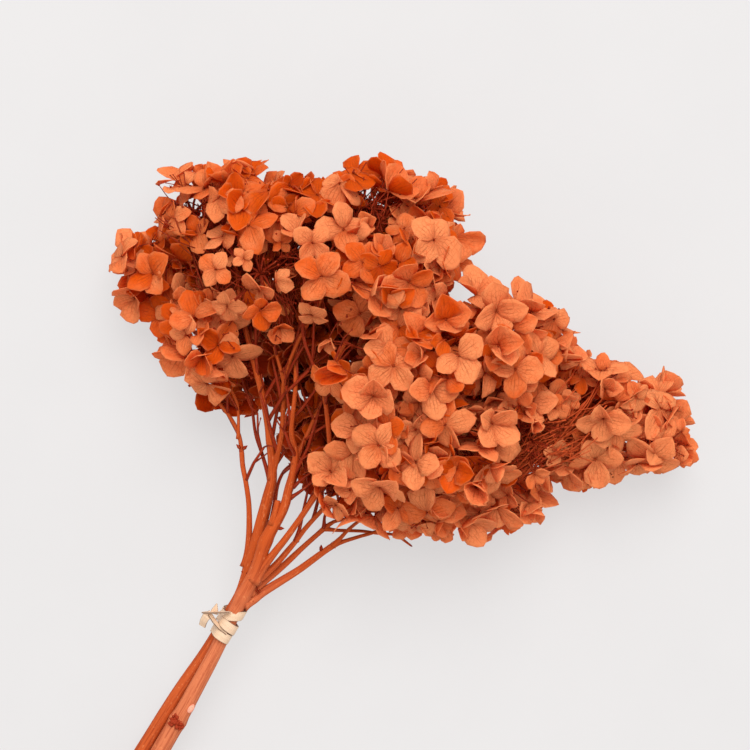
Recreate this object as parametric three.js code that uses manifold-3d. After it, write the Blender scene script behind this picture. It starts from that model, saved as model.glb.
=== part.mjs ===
// A tied bunch of dried, dyed hydrangea, lying on its side. Two woody canes are held by a flat band wound
// three times, and their branches fan out into one broad head of four-sepalled florets.
// Millimetres, +Z up. The canes run along Y, with the head towards +Y, and the lowest petals touch Z = 0.
import * as THREE from 'three';
import * as BufferGeometryUtils from 'three/addons/utils/BufferGeometryUtils.js';
import Module from 'manifold-3d';

const wasm = await Module();
wasm.setup();

// Driving dimensions, in millimetres
const SEAT_GAP = 0.3;
const SEPAL_LENGTH = 16.5;
const SEPAL_HALF_ANGLE = 0.62;
const FLORET_THICKNESS = 2.4;
const PEDICEL_RADIUS = 0.9;
const HUB_RADIUS = 2.7;
const RACHIS_RADIUS = 1.5;
const RACHIS_LENGTH = 10;
const FLORET_CLEARANCE = 0.45;
const BLADE_FOOT = 0.6;
const TRIES_PER_FLORET = 40;
const HIDDEN_DEPTH = 7;
const PRESSED_BELOW = 9;
const SMALL_FLORET = 0.72;
const SMALL_FLORETS_ABOVE = 40;
const TWIG_RADIUS = 1.15;
const BAND = { width: 5, thickness: 1.1, sides: 12 };
const CANES_AT_TIE = [{ x: 1.1, z: 36.3, radius: 3.85 }, { x: -3, z: 29.6, radius: 3.5 }];
const TIE_HEIGHT = 33;

// How florets vary: their least and greatest distance from the middle of the spray as shares of its radius,
// how far they stray from their own direction, what turns their faces, and the least cosine between face and
// pedicel; then the range of each sepal's lift, twist and stretch, and of the size of a floret
const FLORET_REACH = [0.74, 1.08];
const FLORET_WANDER = 0.55;
const FLORET_FACING = { alongPedicel: 0.5, outOfHead: 0.55, random: 0.7 };
const FLORET_LEAST_COSINE = 0.45;
const SEPAL_LIFT = [-1, 3.5];
const SEPAL_TWIST = 2.4;
const SEPAL_STRETCH = [0.9, 1.04];
const SIZE_RANGE = [0.86, 1.06];
const FIRST_SEED = 419;

// Woody branches. Each runs through its points from the cut end or the fork outwards, and a point gives x, y,
// z and the stem's radius there. A branch that ends in a spray is drawn out to that spray's base.
const BRANCHES = {
  left: {
    cane: { sides: 7, route: [[-7.8, -194, 3.9, 3.9], [-6.8, -137, 12, 3.9], [-5.2, -82, 18.5, 3.8],
      [-4, -49, 23, 3.7], [-3.2, -19, 27, 3.6], [-2.8, 3, 29.5, 3.5], [-3, 17, 32, 3.4],
      [-6.5, 36, 36, 3.3], [-14, 66, 43, 3.2], [-18, 78, 46, 2.8], [-29, 94, 50, 2.2], [-40, 108, 55, 2],
      [-56, 125, 60, 1.7], [-75, 145, 62, 1.5]] },
    A: { sides: 4, route: [[-6.3, 29.5, 34, 2], [-9.9, 38.1, 35.5, 1.9], [-14.5, 47.3, 36.5, 1.8],
      [-21.1, 58.3, 37.3, 1.7], [-28, 67.2, 38, 1.7], [-33, 73, 38, 1.8], [-44, 87, 38, 1.6],
      [-62, 96, 38, 1.4], [-87, 104, 39, 1.3], [-102, 112, 38, 1.2]], spray: 'left_tip' },
    A2: { sides: 4, route: [[-42, 84, 38, 1.3], [-50, 98, 42, 1.2], [-58, 105, 47, 1.1]],
      spray: 'left_front' },
    B: { sides: 4, route: [[-17, 74, 45, 1.6], [-28, 84, 42, 1.5], [-36, 91, 39, 1.4], [-48, 106, 35, 1.3],
      [-66, 124, 31, 1.2]], spray: 'under_left' },
    C2: { sides: 5, route: [[-17, 75, 45, 2.4], [-23, 96, 52, 2.2], [-30, 111, 57, 2.1],
      [-36, 123, 61, 1.9], [-39, 142, 66, 1.7], [-39, 161, 67, 1.5], [-40, 182, 64, 1.3]],
      spray: 'crown_right' },
    C3: { sides: 4, route: [[-35, 121, 60, 1.6], [-48, 134, 65, 1.4]], spray: 'upper_left' },
    C1: { sides: 4, route: [[-73, 143, 61.8, 1.2], [-85, 160, 62, 1.2]], spray: 'crown_left' },
  },
  right: {
    cane: { sides: 7, route: [[3.2, -183, 4.8, 4.8], [3.2, -129, 14, 4.7], [2.9, -76, 23, 4.6],
      [3.1, -46, 28.5, 4.4], [3.2, -17, 33.5, 4.1], [1, 1, 36.5, 3.9], [0, 17, 40, 3.7], [-1, 33, 44, 3.5],
      [-4, 48, 48, 3.3], [-4.4, 66.2, 51, 2.9], [-7, 76, 53, 2.7], [-12, 92, 57, 2.4], [-20, 102, 61, 1.8],
      [-29, 122, 65, 1.5], [-40, 140, 58, 1.3]], spray: 'under_crown_left' },
    D2: { sides: 4, route: [[-11, 88, 56, 1.9], [-13, 110, 56, 1.7], [-16, 133, 50, 1.5],
      [-23, 164, 44, 1.3]], spray: 'under_crown_right' },
    D3: { sides: 4, route: [[-4.1, 72.2, 51.5, 1.2], [-1.4, 77.5, 51.5, 1.1], [1.2, 83.9, 51, 1],
      [3.7, 91.6, 50, 0.9]] },
    D4: { sides: 4, route: [[-5.5, 77.8, 53, 1.3], [-3.6, 83.6, 53.5, 1.2], [-0.7, 90.4, 52.5, 0.9]] },
    D5: { sides: 4, route: [[-4, 50, 46.5, 1.6], [-8.7, 62.5, 38.8, 1.4], [-12.9, 73.8, 39.5, 1.3],
      [-13.6, 81.7, 41, 1.2], [-11.7, 87.4, 42, 1]] },
    D6: { sides: 4, route: [[-5.4, 56.3, 50, 1.9], [-7.1, 63, 52, 1.8], [-8.7, 68.2, 52.5, 1.7]] },
    E: { sides: 5, route: [[0.8, 26.5, 42.5, 2.5], [1.3, 32.9, 44.5, 2.3], [2.1, 39.4, 46.5, 2.1],
      [3, 46, 48.5, 2], [4, 52.6, 50.5, 1.9], [5.2, 64.8, 54, 1.9], [6, 76.6, 57.5, 2],
      [7, 90.5, 63.5, 2.1], [3, 101, 67, 2.1], [-10, 120, 71, 2], [-18, 131, 73, 1.7], [-18, 145, 74, 1.6],
      [-18, 158, 72, 1.4], [-14, 180, 66, 1.3], [-11, 198, 58, 1.2]], spray: 'crown_tip' },
    E2: { sides: 4, route: [[-17, 129, 72.5, 1.5], [-37, 145, 77, 1.3], [-48, 164, 78, 1.2]],
      spray: 'crown_middle' },
    E4: { sides: 5, route: [[6, 88, 64, 1.9], [8, 112, 66, 1.8], [17, 141, 62, 1.7], [37, 161, 58, 1.6],
      [61, 178, 52, 1.5], [90, 188, 44, 1.3], [110, 192, 38, 1.2]], spray: 'right_tip' },
    F: { sides: 4, route: [[1.2, 25.6, 41, 1.9], [3.6, 30.4, 40, 1.7], [5.4, 35.3, 40, 1.6],
      [6.9, 40.9, 40.5, 1.6], [8, 47.1, 41, 1.6], [9.3, 54.6, 42, 1.5], [10, 61, 42.5, 1.5],
      [11.3, 67.9, 43, 1.5], [12.8, 74.9, 43.5, 1.5], [12.4, 81.1, 44, 1.4], [11.1, 88.5, 44.5, 1.4],
      [11, 96, 45, 1.4], [9, 119, 43, 1.3]], spray: 'under_middle' },
    F3: { sides: 4, route: [[9.3, 54, 41.5, 1.4], [7.3, 61.8, 43.5, 1.2], [4.7, 69.9, 46, 1.1],
      [2.5, 76.9, 48, 1.1], [0.1, 84.2, 49, 1]] },
    H: { sides: 4, route: [[1.8, 19, 37.5, 1.9], [4.1, 24, 36, 1.7], [6.1, 28.5, 35, 1.6],
      [8.3, 34.1, 34, 1.6], [10.4, 40.2, 33.5, 1.6], [11.9, 45.2, 33.5, 1.6], [13.6, 50.9, 33.5, 1.5],
      [15.7, 57.4, 33.5, 1.5], [17.7, 63.3, 33.5, 1.5], [19, 67, 33.5, 1.5], [21.2, 71.5, 34, 1.4],
      [25.4, 75.5, 34.5, 1.3], [31.1, 81.8, 35, 1.3], [36.5, 90.8, 36, 1.3], [38, 107, 36, 1.3],
      [42, 122, 36, 1.2]], spray: 'under_right' },
    H2: { sides: 4, route: [[18.6, 65.8, 33.3, 1.4], [24.3, 68, 32, 1.2], [30.2, 70.9, 29.5, 1.2],
      [36.7, 74, 26.5, 1.2], [43.1, 76.3, 24, 1.2], [50.2, 79.5, 22, 1.1], [53.9, 80.4, 21, 1.1],
      [61.7, 79.4, 19, 0.9]] },
    H3: { sides: 4, route: [[52.8, 80.3, 21.5, 1], [56.7, 85.8, 22, 0.8]] },
    H4: { sides: 4, route: [[18.3, 66.3, 33.8, 1.2], [15.8, 71.3, 37, 1], [14.2, 77.7, 40, 0.9]] },
    G: { sides: 5, route: [[2, 12.6, 38, 2.5], [5.2, 16.9, 35.5, 2.4], [7.5, 21.8, 33.8, 2.2],
      [12.6, 31.1, 33, 2.1], [18.3, 41.7, 32.2, 2], [23.4, 53.2, 32, 2], [27.2, 60.9, 31.7, 1.9],
      [31.4, 65.9, 31.2, 1.5], [36.9, 71.7, 30.7, 1.4], [42, 77, 30, 1.4], [58, 96, 29, 1.4],
      [74, 122, 30, 1.3], [86, 145, 31, 1.2]], spray: 'right_low' },
    G1: { sides: 4, route: [[26.9, 60.4, 31.8, 1.6], [28.3, 66.2, 34, 1.5], [29.6, 72.2, 36, 1.4],
      [32.4, 81.7, 39.5, 1.3], [35.8, 91.9, 43, 1.2]], spray: 'front_middle' },
  },
};

// Flowering sprays, each a small dome of florets round its middle. Those that don't end a branch name the one
// that carries them, and the number of the route point that they leave it at. The upper ones come first.
const SPRAYS = [
  { name: 'middle', branch: 'E4', leaves: 2, centre: [20, 166, 88], radius: 28 },
  { name: 'upper_middle', branch: 'C2', leaves: 4, centre: [-40, 175, 88], radius: 28 },
  { name: 'upper_right', branch: 'E', leaves: 12, centre: [-12, 190, 84], radius: 29 },
  { name: 'lower_middle', branch: 'E4', leaves: 2.5, centre: [48, 138, 80], radius: 28 },
  { name: 'middle_right', branch: 'E4', leaves: 3.5, centre: [44, 184, 76], radius: 28 },
  { name: 'lower_inner', branch: 'E4', leaves: 1, centre: [26, 124, 80], radius: 24 },
  { name: 'middle_inner', branch: 'E', leaves: 11, centre: [-2, 154, 84], radius: 24 },
  { name: 'upper_left', centre: [-70, 161, 80], radius: 26 },
  { name: 'crown_middle', centre: [-64, 192, 72], radius: 27 },
  { name: 'crown_right', centre: [-45, 211, 66], radius: 27 },
  { name: 'crown_left', centre: [-92, 180, 64], radius: 26 },
  { name: 'left_front', centre: [-76, 124, 58], radius: 22 },
  { name: 'crown_tip', centre: [-18, 221, 54], radius: 26 },
  { name: 'left_top', branch: 'C1', leaves: 0.6, centre: [-116, 171, 52], radius: 24 },
  { name: 'lower_right', branch: 'E4', leaves: 4, centre: [76, 160, 62], radius: 24 },
  { name: 'shoulder', branch: 'E4', leaves: 4.4, centre: [54, 201, 58], radius: 25 },
  { name: 'front_middle', centre: [53, 107, 54], radius: 25 },
  { name: 'front_inner', branch: 'G1', leaves: 3.4, centre: [19, 92, 57], radius: 18 },
  { name: 'right_top', branch: 'E4', leaves: 4.8, centre: [104, 190, 52], radius: 22 },
  { name: 'right_tip', centre: [137, 190, 34], radius: 22 },
  { name: 'front_right', branch: 'G', leaves: 11, centre: [81, 130, 42], radius: 25 },
  { name: 'right_low', centre: [112, 168, 35], radius: 22 },
  { name: 'left_tip', centre: [-121, 139, 34], radius: 22 },
  { name: 'under_left', centre: [-98, 156, 28], radius: 25 },
  { name: 'under_crown_left', centre: [-66, 182, 30], radius: 27 },
  { name: 'under_crown_right', centre: [-28, 200, 30], radius: 27 },
  { name: 'under_middle', centre: [4, 170, 30], radius: 28 },
  { name: 'under_right', centre: [48, 158, 30], radius: 27 },
  { name: 'under_shoulder', branch: 'G', leaves: 12, centre: [80, 178, 28], radius: 25 },
  { name: 'under_front', branch: 'H', leaves: 14, centre: [43, 117, 28], radius: 25 },
  { name: 'under_heart', branch: 'B', leaves: 3, centre: [-42, 140, 28], radius: 25 },
  { name: 'under_waist', branch: 'B', leaves: 2.6, centre: [-62, 110, 24], radius: 21 },
  { name: 'under_throat', branch: 'F', leaves: 11, centre: [1, 112, 28], radius: 24 },
];

// Middle line of the whole head, which the florets face away from
const HEAD_SPINE = [[-105, 146, 40], [-70, 177, 46], [-15, 180, 46], [51, 166, 44], [109, 191, 34]]
  .map((point) => new THREE.Vector3(...point));

// Outline of the head at one height, clockwise from its left tip. The head narrows slightly towards its top.
const OUTLINE = { height: 50, middle: [2, 147], flare: 1 / 850 };
const HEAD_OUTLINE = [
  [-143, 128], [-148, 144], [-140, 151], [-131, 152], [-135, 163], [-142, 171], [-137, 192], [-123, 194],
  [-116, 204], [-99, 212], [-82, 217], [-68, 228], [-64, 236], [-51, 238], [-37, 246], [-18, 249],
  [-5, 241], [16, 233], [15, 219], [19, 211], [32, 220], [44, 223], [58, 223], [77, 221], [80, 207],
  [99, 216], [110, 214], [116, 220], [130, 218], [144, 206], [162, 199], [164, 181], [144, 180],
  [137, 169], [129, 156], [112, 138], [111, 125], [97, 104], [71, 91], [61, 84], [45, 77], [25, 76],
  [12, 80], [-11, 79], [-40, 79], [-66, 89], [-85, 99], [-102, 104], [-123, 116],
];

const barkMaterial = new THREE.MeshStandardMaterial({ color: '#b4552a', roughness: 0.75, metalness: 0 });
const petalMaterial = new THREE.MeshStandardMaterial({ color: '#dd7440', roughness: 0.7, metalness: 0 });
const bandMaterial = new THREE.MeshStandardMaterial({ color: '#dcbc94', roughness: 0.6, metalness: 0 });

// Repeatable random numbers from 0 to 1
function seededRandom(seed) {
  let state = seed;
  return () => {
    state = (state + 0x6d2b79f5) | 0;
    let mixed = Math.imul(state ^ (state >>> 15), 1 | state);
    mixed = (mixed + Math.imul(mixed ^ (mixed >>> 7), 61 | mixed)) ^ mixed;
    return ((mixed ^ (mixed >>> 14)) >>> 0) / 4294967296;
  };
}

// Closed solid of a geometry whose shared corners are merged
function solidOf(geometry) {
  geometry.deleteAttribute('normal');
  geometry.deleteAttribute('uv');
  const welded = BufferGeometryUtils.mergeVertices(geometry, 1e-4);
  return new wasm.Manifold(new wasm.Mesh({
    numProp: 3,
    vertProperties: new Float32Array(welded.attributes.position.array),
    triVerts: new Uint32Array(welded.index.array),
  }));
}

function meshOf(name, manifold, material) {
  const { vertProperties, triVerts } = manifold.getMesh();
  const geometry = new THREE.BufferGeometry();
  geometry.setAttribute('position', new THREE.BufferAttribute(new Float32Array(vertProperties), 3));
  geometry.setIndex(new THREE.BufferAttribute(new Uint32Array(triVerts), 1));
  geometry.computeVertexNormals();
  const mesh = new THREE.Mesh(geometry, material);
  mesh.name = name;
  return mesh;
}

function joined(solids) {
  return solids.reduce((whole, solid) => whole.add(solid));
}

// A tapering stem: a cylinder with few sides, bent to run through its rings, each [point, direction, radius]
function stem(rings, sides) {
  const steps = rings.length - 1;
  const geometry = new THREE.CylinderGeometry(1, 1, 1, sides, steps);
  const across = new THREE.Vector3(1, 0.2, 0.3);
  const frames = rings.map(([point, direction, radius]) => {
    across.addScaledVector(direction, -across.dot(direction)).normalize();
    return { point, radius, side: across.clone(), top: direction.clone().cross(across) };
  });
  const place = geometry.attributes.position;
  for (let i = 0; i < place.count; i++) {
    const { point, radius, side, top } = frames[Math.round((0.5 - place.getY(i)) * steps)];
    const moved = point.clone()
      .addScaledVector(side, radius * place.getX(i))
      .addScaledVector(top, radius * place.getZ(i));
    place.setXYZ(i, moved.x, moved.y, moved.z);
  }
  return solidOf(geometry);
}

function smoothCurve(route) {
  const points = route.map(([x, y, z]) => new THREE.Vector3(x, y, z));
  return new THREE.CatmullRomCurve3(points, false, 'centripetal');
}

function branchRings(route, growth = 0) {
  const curve = smoothCurve(route);
  return route.map(([, , , radius], i) => {
    const t = i / (route.length - 1);
    return [curve.getPoint(t), curve.getTangent(t), radius + growth];
  });
}

// The spray's axis, and its base where the wood that carries it ends
function sprayFrame(spray, from) {
  const centre = new THREE.Vector3(...spray.centre);
  const axis = centre.clone().sub(from).normalize();
  return { centre, axis, base: centre.clone().addScaledVector(axis, -RACHIS_LENGTH) };
}

// A twig from a branch to a spray's base, leaving along the branch and meeting the spray square on
function twigRings(from, along, { axis, base }) {
  const end = base.clone().addScaledVector(axis, -SEAT_GAP);
  const reach = from.distanceTo(end) * 0.35;
  const curve = new THREE.CubicBezierCurve3(
    from, from.clone().addScaledVector(along, reach), end.clone().addScaledVector(axis, -reach), end);
  return [0, 0.4, 0.75, 1].map((t) => [curve.getPoint(t), curve.getTangent(t), TWIG_RADIUS]);
}

const clearOfFloor = (point) => point.setZ(Math.max(point.z, 0));

// One floret, added to a mesh: a star of four cupped sepals, each with a notch, two shoulders and a tip,
// thick
// at the middle and thin at the rim. Its underside runs down into a three-sided pedicel that grows from a
// ring
// of the mesh.
function addFloret(points, faces, ring, pose, growth = 0) {
  const { at, facing, turn, size, cup } = pose;
  const lay = new THREE.Quaternion().setFromUnitVectors(new THREE.Vector3(0, 0, 1), facing);
  const local = (radius, angle, height) => clearOfFloor(
    new THREE.Vector3(radius * Math.cos(angle), radius * Math.sin(angle), height)
      .applyQuaternion(lay).add(at));
  const top = points.length;
  points.push(local(0, 0, 0.4 + growth));
  const angles = [];
  const addRim = (radius, angle, height) => {
    angles.push(angle);
    points.push(local(radius, angle, height));
  };
  for (let sepal = 0; sepal < 4; sepal++) {
    const middle = turn + sepal * Math.PI / 2;
    const length = size * cup.length[sepal] + growth;
    const lift = cup.lift[sepal];
    addRim(length * 0.34, middle - Math.PI / 4, 0.2);
    addRim(length * 0.8, middle - SEPAL_HALF_ANGLE, lift * 0.6 - cup.twist[sepal]);
    addRim(length, middle, lift);
    addRim(length * 0.8, middle + SEPAL_HALF_ANGLE, lift * 0.6 + cup.twist[sepal]);
  }
  const rim = (i) => top + 1 + (i % angles.length);
  const neck = points.length;
  const toRing = points[ring[0]].clone().sub(at).applyQuaternion(lay.clone().invert());
  const middle = ring.reduce((sum, i) => sum.add(points[i]), new THREE.Vector3()).divideScalar(3)
    .sub(at).applyQuaternion(lay.clone().invert());
  const start = Math.atan2(toRing.y - middle.y, toRing.x - middle.x);
  const third = 2 * Math.PI / 3;
  for (let side = 0; side < 3; side++) {
    points.push(local(PEDICEL_RADIUS + growth, start + side * third, -FLORET_THICKNESS - growth));
  }
  const nearest = (i) => neck + (((Math.round((angles[i % angles.length] - start) / third) % 3) + 3) % 3);
  for (let i = 0; i < angles.length; i++) {
    faces.push(top, rim(i), rim(i + 1));
    faces.push(rim(i + 1), rim(i), nearest(i));
    if (nearest(i) !== nearest(i + 1)) {
      faces.push(rim(i + 1), nearest(i), nearest(i + 1));
    }
  }
  addTube(faces, ring, [neck, neck + 1, neck + 2]);
}

function addTube(faces, from, to) {
  from.forEach((corner, i) => {
    const next = (i + 1) % from.length;
    faces.push(corner, from[next], to[next]);
    faces.push(corner, to[next], to[i]);
  });
}

function solidOfFaces(points, faces) {
  const geometry = new THREE.BufferGeometry().setFromPoints(points);
  geometry.setIndex(faces);
  return solidOf(geometry);
}

// A floret by itself, closed at the foot, to test whether it touches anything. A blade keeps only the top
// of its
// pedicel, from the given share of its length.
function loneFloret(hubRing, pose, growth, footShare) {
  const middle = hubRing.reduce((sum, corner) => sum.add(corner), new THREE.Vector3()).divideScalar(3);
  const points = hubRing.map((corner) => corner.clone().sub(middle).multiplyScalar(1 + growth * 0.4)
    .add(middle).lerp(pose.at, footShare));
  const faces = [0, 2, 1];
  addFloret(points, faces, [0, 1, 2], pose, growth);
  return solidOfFaces(points, faces);
}

function boxOf(manifold) {
  const { min, max } = manifold.boundingBox();
  return new THREE.Box3(new THREE.Vector3(...min), new THREE.Vector3(...max));
}

const obstacle = (manifold) => ({ manifold, box: boxOf(manifold) });

function meets(one, other) {
  return one.box.intersectsBox(other.box) && !one.manifold.intersect(other.manifold).isEmpty();
}

// Direction that a point of the head faces: straight away from the nearest stretch of the middle line
function headOutward(point) {
  let nearest = null;
  const along = new THREE.Vector3();
  for (let i = 0; i + 1 < HEAD_SPINE.length; i++) {
    new THREE.Line3(HEAD_SPINE[i], HEAD_SPINE[i + 1]).closestPointToPoint(point, true, along);
    if (!nearest || along.distanceTo(point) < nearest.distanceTo(point)) {
      nearest = along.clone();
    }
  }
  return point.clone().sub(nearest).normalize();
}

// The knot in the middle of a spray: twenty small faces, the first for the rachis and one for each floret
function sprayHub({ centre, axis }) {
  const geometry = new THREE.IcosahedronGeometry(HUB_RADIUS, 0);
  geometry.deleteAttribute('normal');
  geometry.deleteAttribute('uv');
  const hub = BufferGeometryUtils.mergeVertices(geometry, 1e-4);
  const corners = Array.from({ length: hub.attributes.position.count }, (_, i) =>
    new THREE.Vector3().fromBufferAttribute(hub.attributes.position, i));
  const index = Array.from(hub.index.array);
  const rings = Array.from({ length: index.length / 3 }, (_, i) => index.slice(3 * i, 3 * i + 3));
  const facingOf = (ring) => ring.reduce((sum, i) => sum.add(corners[i]), new THREE.Vector3()).normalize();
  const lay = new THREE.Quaternion().setFromUnitVectors(facingOf(rings[0]), axis.clone().negate());
  corners.forEach((corner) => corner.applyQuaternion(lay));
  const directions = rings.map(facingOf);
  corners.forEach((corner) => corner.add(centre));
  return { corners, rings, directions };
}

// A floret that would reach the surface lies face down on it, with its sepals pressed flat
function pressFlat({ at, turn, size, cup }) {
  const flat = cup.lift.map(() => 0);
  const onSurface = at.clone().setZ(0);
  const facing = new THREE.Vector3(0, 0, -1);
  return { at: onSurface, facing, turn, size, cup: { ...cup, lift: flat, twist: flat } };
}

// A random pose for the floret that grows in one direction of the dome
function floretPose({ random, radius, frame }, direction, scale) {
  const between = ([least, greatest]) => least + (greatest - least) * random();
  const anyWay = () => new THREE.Vector3(random() - 0.5, random() - 0.5, random() - 0.5);
  const way = direction.clone().addScaledVector(anyWay(), FLORET_WANDER).normalize();
  const at = frame.centre.clone().addScaledVector(way, radius * between(FLORET_REACH));
  const facing = direction.clone().multiplyScalar(FLORET_FACING.alongPedicel)
    .addScaledVector(headOutward(at), FLORET_FACING.outOfHead)
    .addScaledVector(anyWay(), FLORET_FACING.random).normalize();
  const foursome = (draw) => Array.from({ length: 4 }, draw);
  const pose = {
    at,
    facing,
    turn: random() * Math.PI,
    size: SEPAL_LENGTH * scale * between(SIZE_RANGE),
    cup: {
      lift: foursome(() => between(SEPAL_LIFT)),
      length: foursome(() => between(SEPAL_STRETCH)),
      twist: foursome(() => (random() - 0.5) * SEPAL_TWIST),
    },
  };
  return at.z < PRESSED_BELOW ? pressFlat(pose) : pose;
}

// Even-odd test of a point against the head's outline, drawn in or out by the point's height
function insideOutline(point) {
  const flare = 1 + (OUTLINE.height - point.z) * OUTLINE.flare;
  const [x, y] = OUTLINE.middle.map((middle, i) => middle + (point.getComponent(i) - middle) / flare);
  return HEAD_OUTLINE.reduce((inside, [x1, y1], i) => {
    const [x2, y2] = HEAD_OUTLINE[(i + 1) % HEAD_OUTLINE.length];
    const crosses = (y1 > y) !== (y2 > y) && x < x1 + (x2 - x1) * (y - y1) / (y2 - y1);
    return crosses ? !inside : inside;
  }, false);
}

function sepalTips({ at, facing, turn, size, cup }) {
  const lay = new THREE.Quaternion().setFromUnitVectors(new THREE.Vector3(0, 0, 1), facing);
  return cup.length.map((length, sepal) => {
    const angle = turn + sepal * Math.PI / 2;
    return new THREE.Vector3(Math.cos(angle), Math.sin(angle), 0)
      .multiplyScalar(size * length).applyQuaternion(lay).add(at);
  });
}

function hiddenInside(at, spray) {
  return SPRAYS.some((other) => other.name !== spray.name
    && at.distanceTo(new THREE.Vector3(...other.centre)) < other.radius - HIDDEN_DEPTH);
}

// Canes with all their branches and twigs, and the frame of each spray
const canes = {};
const frames = {};
for (const [side, branches] of Object.entries(BRANCHES)) {
  const solids = [];
  for (const [name, { sides, route, spray }] of Object.entries(branches)) {
    const rings = branchRings(route);
    if (spray) {
      const [from, along] = rings.pop();
      frames[spray] = sprayFrame(SPRAYS.find((one) => one.name === spray), from);
      rings.push(...twigRings(from, along, frames[spray]));
    }
    solids.push(stem(rings, sides));
    for (const one of SPRAYS.filter((candidate) => candidate.branch === name)) {
      const curve = smoothCurve(route);
      const t = one.leaves / (route.length - 1);
      frames[one.name] = sprayFrame(one, curve.getPoint(t));
      solids.push(stem(twigRings(curve.getPoint(t), curve.getTangent(t), frames[one.name]), 4));
    }
  }
  canes[side] = joined(solids);
}
const caneObstacles = Object.values(canes).map(obstacle);

// Sprays: each starts as a rachis with its hub, then florets are turned until they touch nothing, or left
// out
function sprayMesh(spray) {
  const points = spray.hub.corners.map((corner) => corner.clone());
  const [rachisRing, ...otherRings] = spray.hub.rings;
  const faces = otherRings.filter((ring) => !spray.florets.some((floret) => floret.ring === ring)).flat();
  const base = points.length;
  rachisRing.forEach((corner) => {
    const outward = points[corner].clone().sub(spray.frame.centre).projectOnPlane(spray.frame.axis);
    points.push(spray.frame.base.clone().addScaledVector(outward.normalize(), RACHIS_RADIUS));
  });
  addTube(faces, rachisRing, [base, base + 1, base + 2]);
  faces.push(base, base + 1, base + 2);
  spray.florets.forEach(({ ring, pose }) => addFloret(points, faces, ring, pose));
  return solidOfFaces(points, faces);
}

const sprays = SPRAYS.map((spray, index) => {
  const frame = frames[spray.name];
  const random = seededRandom(FIRST_SEED + index);
  const started = { ...spray, frame, random, hub: sprayHub(frame), florets: [] };
  return { ...started, stems: obstacle(sprayMesh(started)) };
});

function fits(spray, grown, blade) {
  const clearOfOthers = sprays.every((other) => other === spray
    || (!meets(grown, other.stems) && !other.florets.some((placed) => meets(grown, placed.whole))));
  return clearOfOthers
    && !caneObstacles.some((cane) => meets(grown, cane))
    && !meets(blade, spray.stems)
    && !spray.florets.some((placed) => meets(blade, placed.whole) || meets(grown, placed.blade));
}

function growFloret(spray, ring, direction, scale) {
  const hubRing = ring.map((i) => spray.hub.corners[i]);
  for (let attempt = 0; attempt < TRIES_PER_FLORET; attempt++) {
    const pose = floretPose(spray, direction, scale);
    const stretch = pose.at.clone().sub(spray.frame.centre).normalize();
    const turnedBack = stretch.dot(pose.facing) < FLORET_LEAST_COSINE;
    if (turnedBack || hiddenInside(pose.at, spray) || !sepalTips(pose).every(insideOutline)) {
      continue;
    }
    const grown = obstacle(loneFloret(hubRing, pose, FLORET_CLEARANCE, 0));
    const grownBlade = obstacle(loneFloret(hubRing, pose, FLORET_CLEARANCE, BLADE_FOOT));
    if (fits(spray, grown, grownBlade)) {
      const whole = obstacle(loneFloret(hubRing, pose, 0, 0));
      const blade = obstacle(loneFloret(hubRing, pose, 0, BLADE_FOOT));
      spray.florets.push({ ring, pose, whole, blade });
      return;
    }
  }
}

// Full-sized florets first, then small ones where the upper sprays still have room
function growFlorets(spray, scale) {
  spray.hub.rings.forEach((ring, i) => {
    if (i > 0 && !spray.florets.some((floret) => floret.ring === ring)) {
      growFloret(spray, ring, spray.hub.directions[i], scale);
    }
  });
}

sprays.forEach((spray) => growFlorets(spray, 1));
sprays.filter(({ frame }) => frame.centre.z >= SMALL_FLORETS_ABOVE)
  .forEach((spray) => growFlorets(spray, SMALL_FLORET));

// Outline of a strap drawn tight round the two canes: for each direction, the point that reaches furthest
function strapOutline(growth) {
  return Array.from({ length: BAND.sides }, (_, i) => {
    const angle = i * 2 * Math.PI / BAND.sides;
    const [along, up] = [Math.cos(angle), Math.sin(angle)];
    const reach = ({ x, z, radius }) => x * along + z * up + radius;
    const [right, left] = CANES_AT_TIE;
    const { x, z, radius } = reach(right) > reach(left) ? right : left;
    return new THREE.Vector2(x + (radius + growth) * along, z + (radius + growth) * up);
  });
}

// One turn of the band, at its place along the canes and slanted across them
function bandTurn(place, slant, layer) {
  const outline = new THREE.Shape(strapOutline(0.9 + layer + BAND.thickness));
  outline.holes.push(new THREE.Path(strapOutline(0.6 + layer)));
  const geometry = new THREE.ExtrudeGeometry(outline, { depth: BAND.width, bevelEnabled: false });
  geometry.rotateX(Math.PI / 2);
  geometry.translate(0, BAND.width / 2, -TIE_HEIGHT);
  geometry.applyMatrix4(new THREE.Matrix4().makeRotationFromEuler(new THREE.Euler(0.15, 0, slant, 'ZXY')));
  geometry.translate(0, place, TIE_HEIGHT);
  return solidOf(geometry);
}

function bandStrip(size, at, turn) {
  const geometry = new THREE.BoxGeometry(...size);
  geometry.applyMatrix4(new THREE.Matrix4().makeRotationFromEuler(new THREE.Euler(...turn, 'ZXY')));
  geometry.translate(...at);
  return solidOf(geometry);
}

// Three turns of the band with its knot and two cut ends on the left
function tieBand() {
  const band = joined([
    bandTurn(-7.5, 0.04, 0),
    bandTurn(-3.2, 0.3, 0.35),
    bandTurn(3.6, 0.42, 0),
    bandStrip([4.5, 11, 4.5], [-8.2, -3.2, 34], [0, 0, -0.25]),
    bandStrip([12, 3.6, 1.2], [-8.6, 0.6, 38], [0, -0.35, 0.55]),
    bandStrip([3.8, 9, 1.2], [-11.6, -5.6, 35], [0.15, -0.3, -0.3]),
  ]);
  const cleared = Object.values(BRANCHES).map(({ cane }) =>
    stem(branchRings(cane.route.slice(3, 8), SEAT_GAP), cane.sides));
  return band.subtract(joined(cleared));
}

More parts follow.
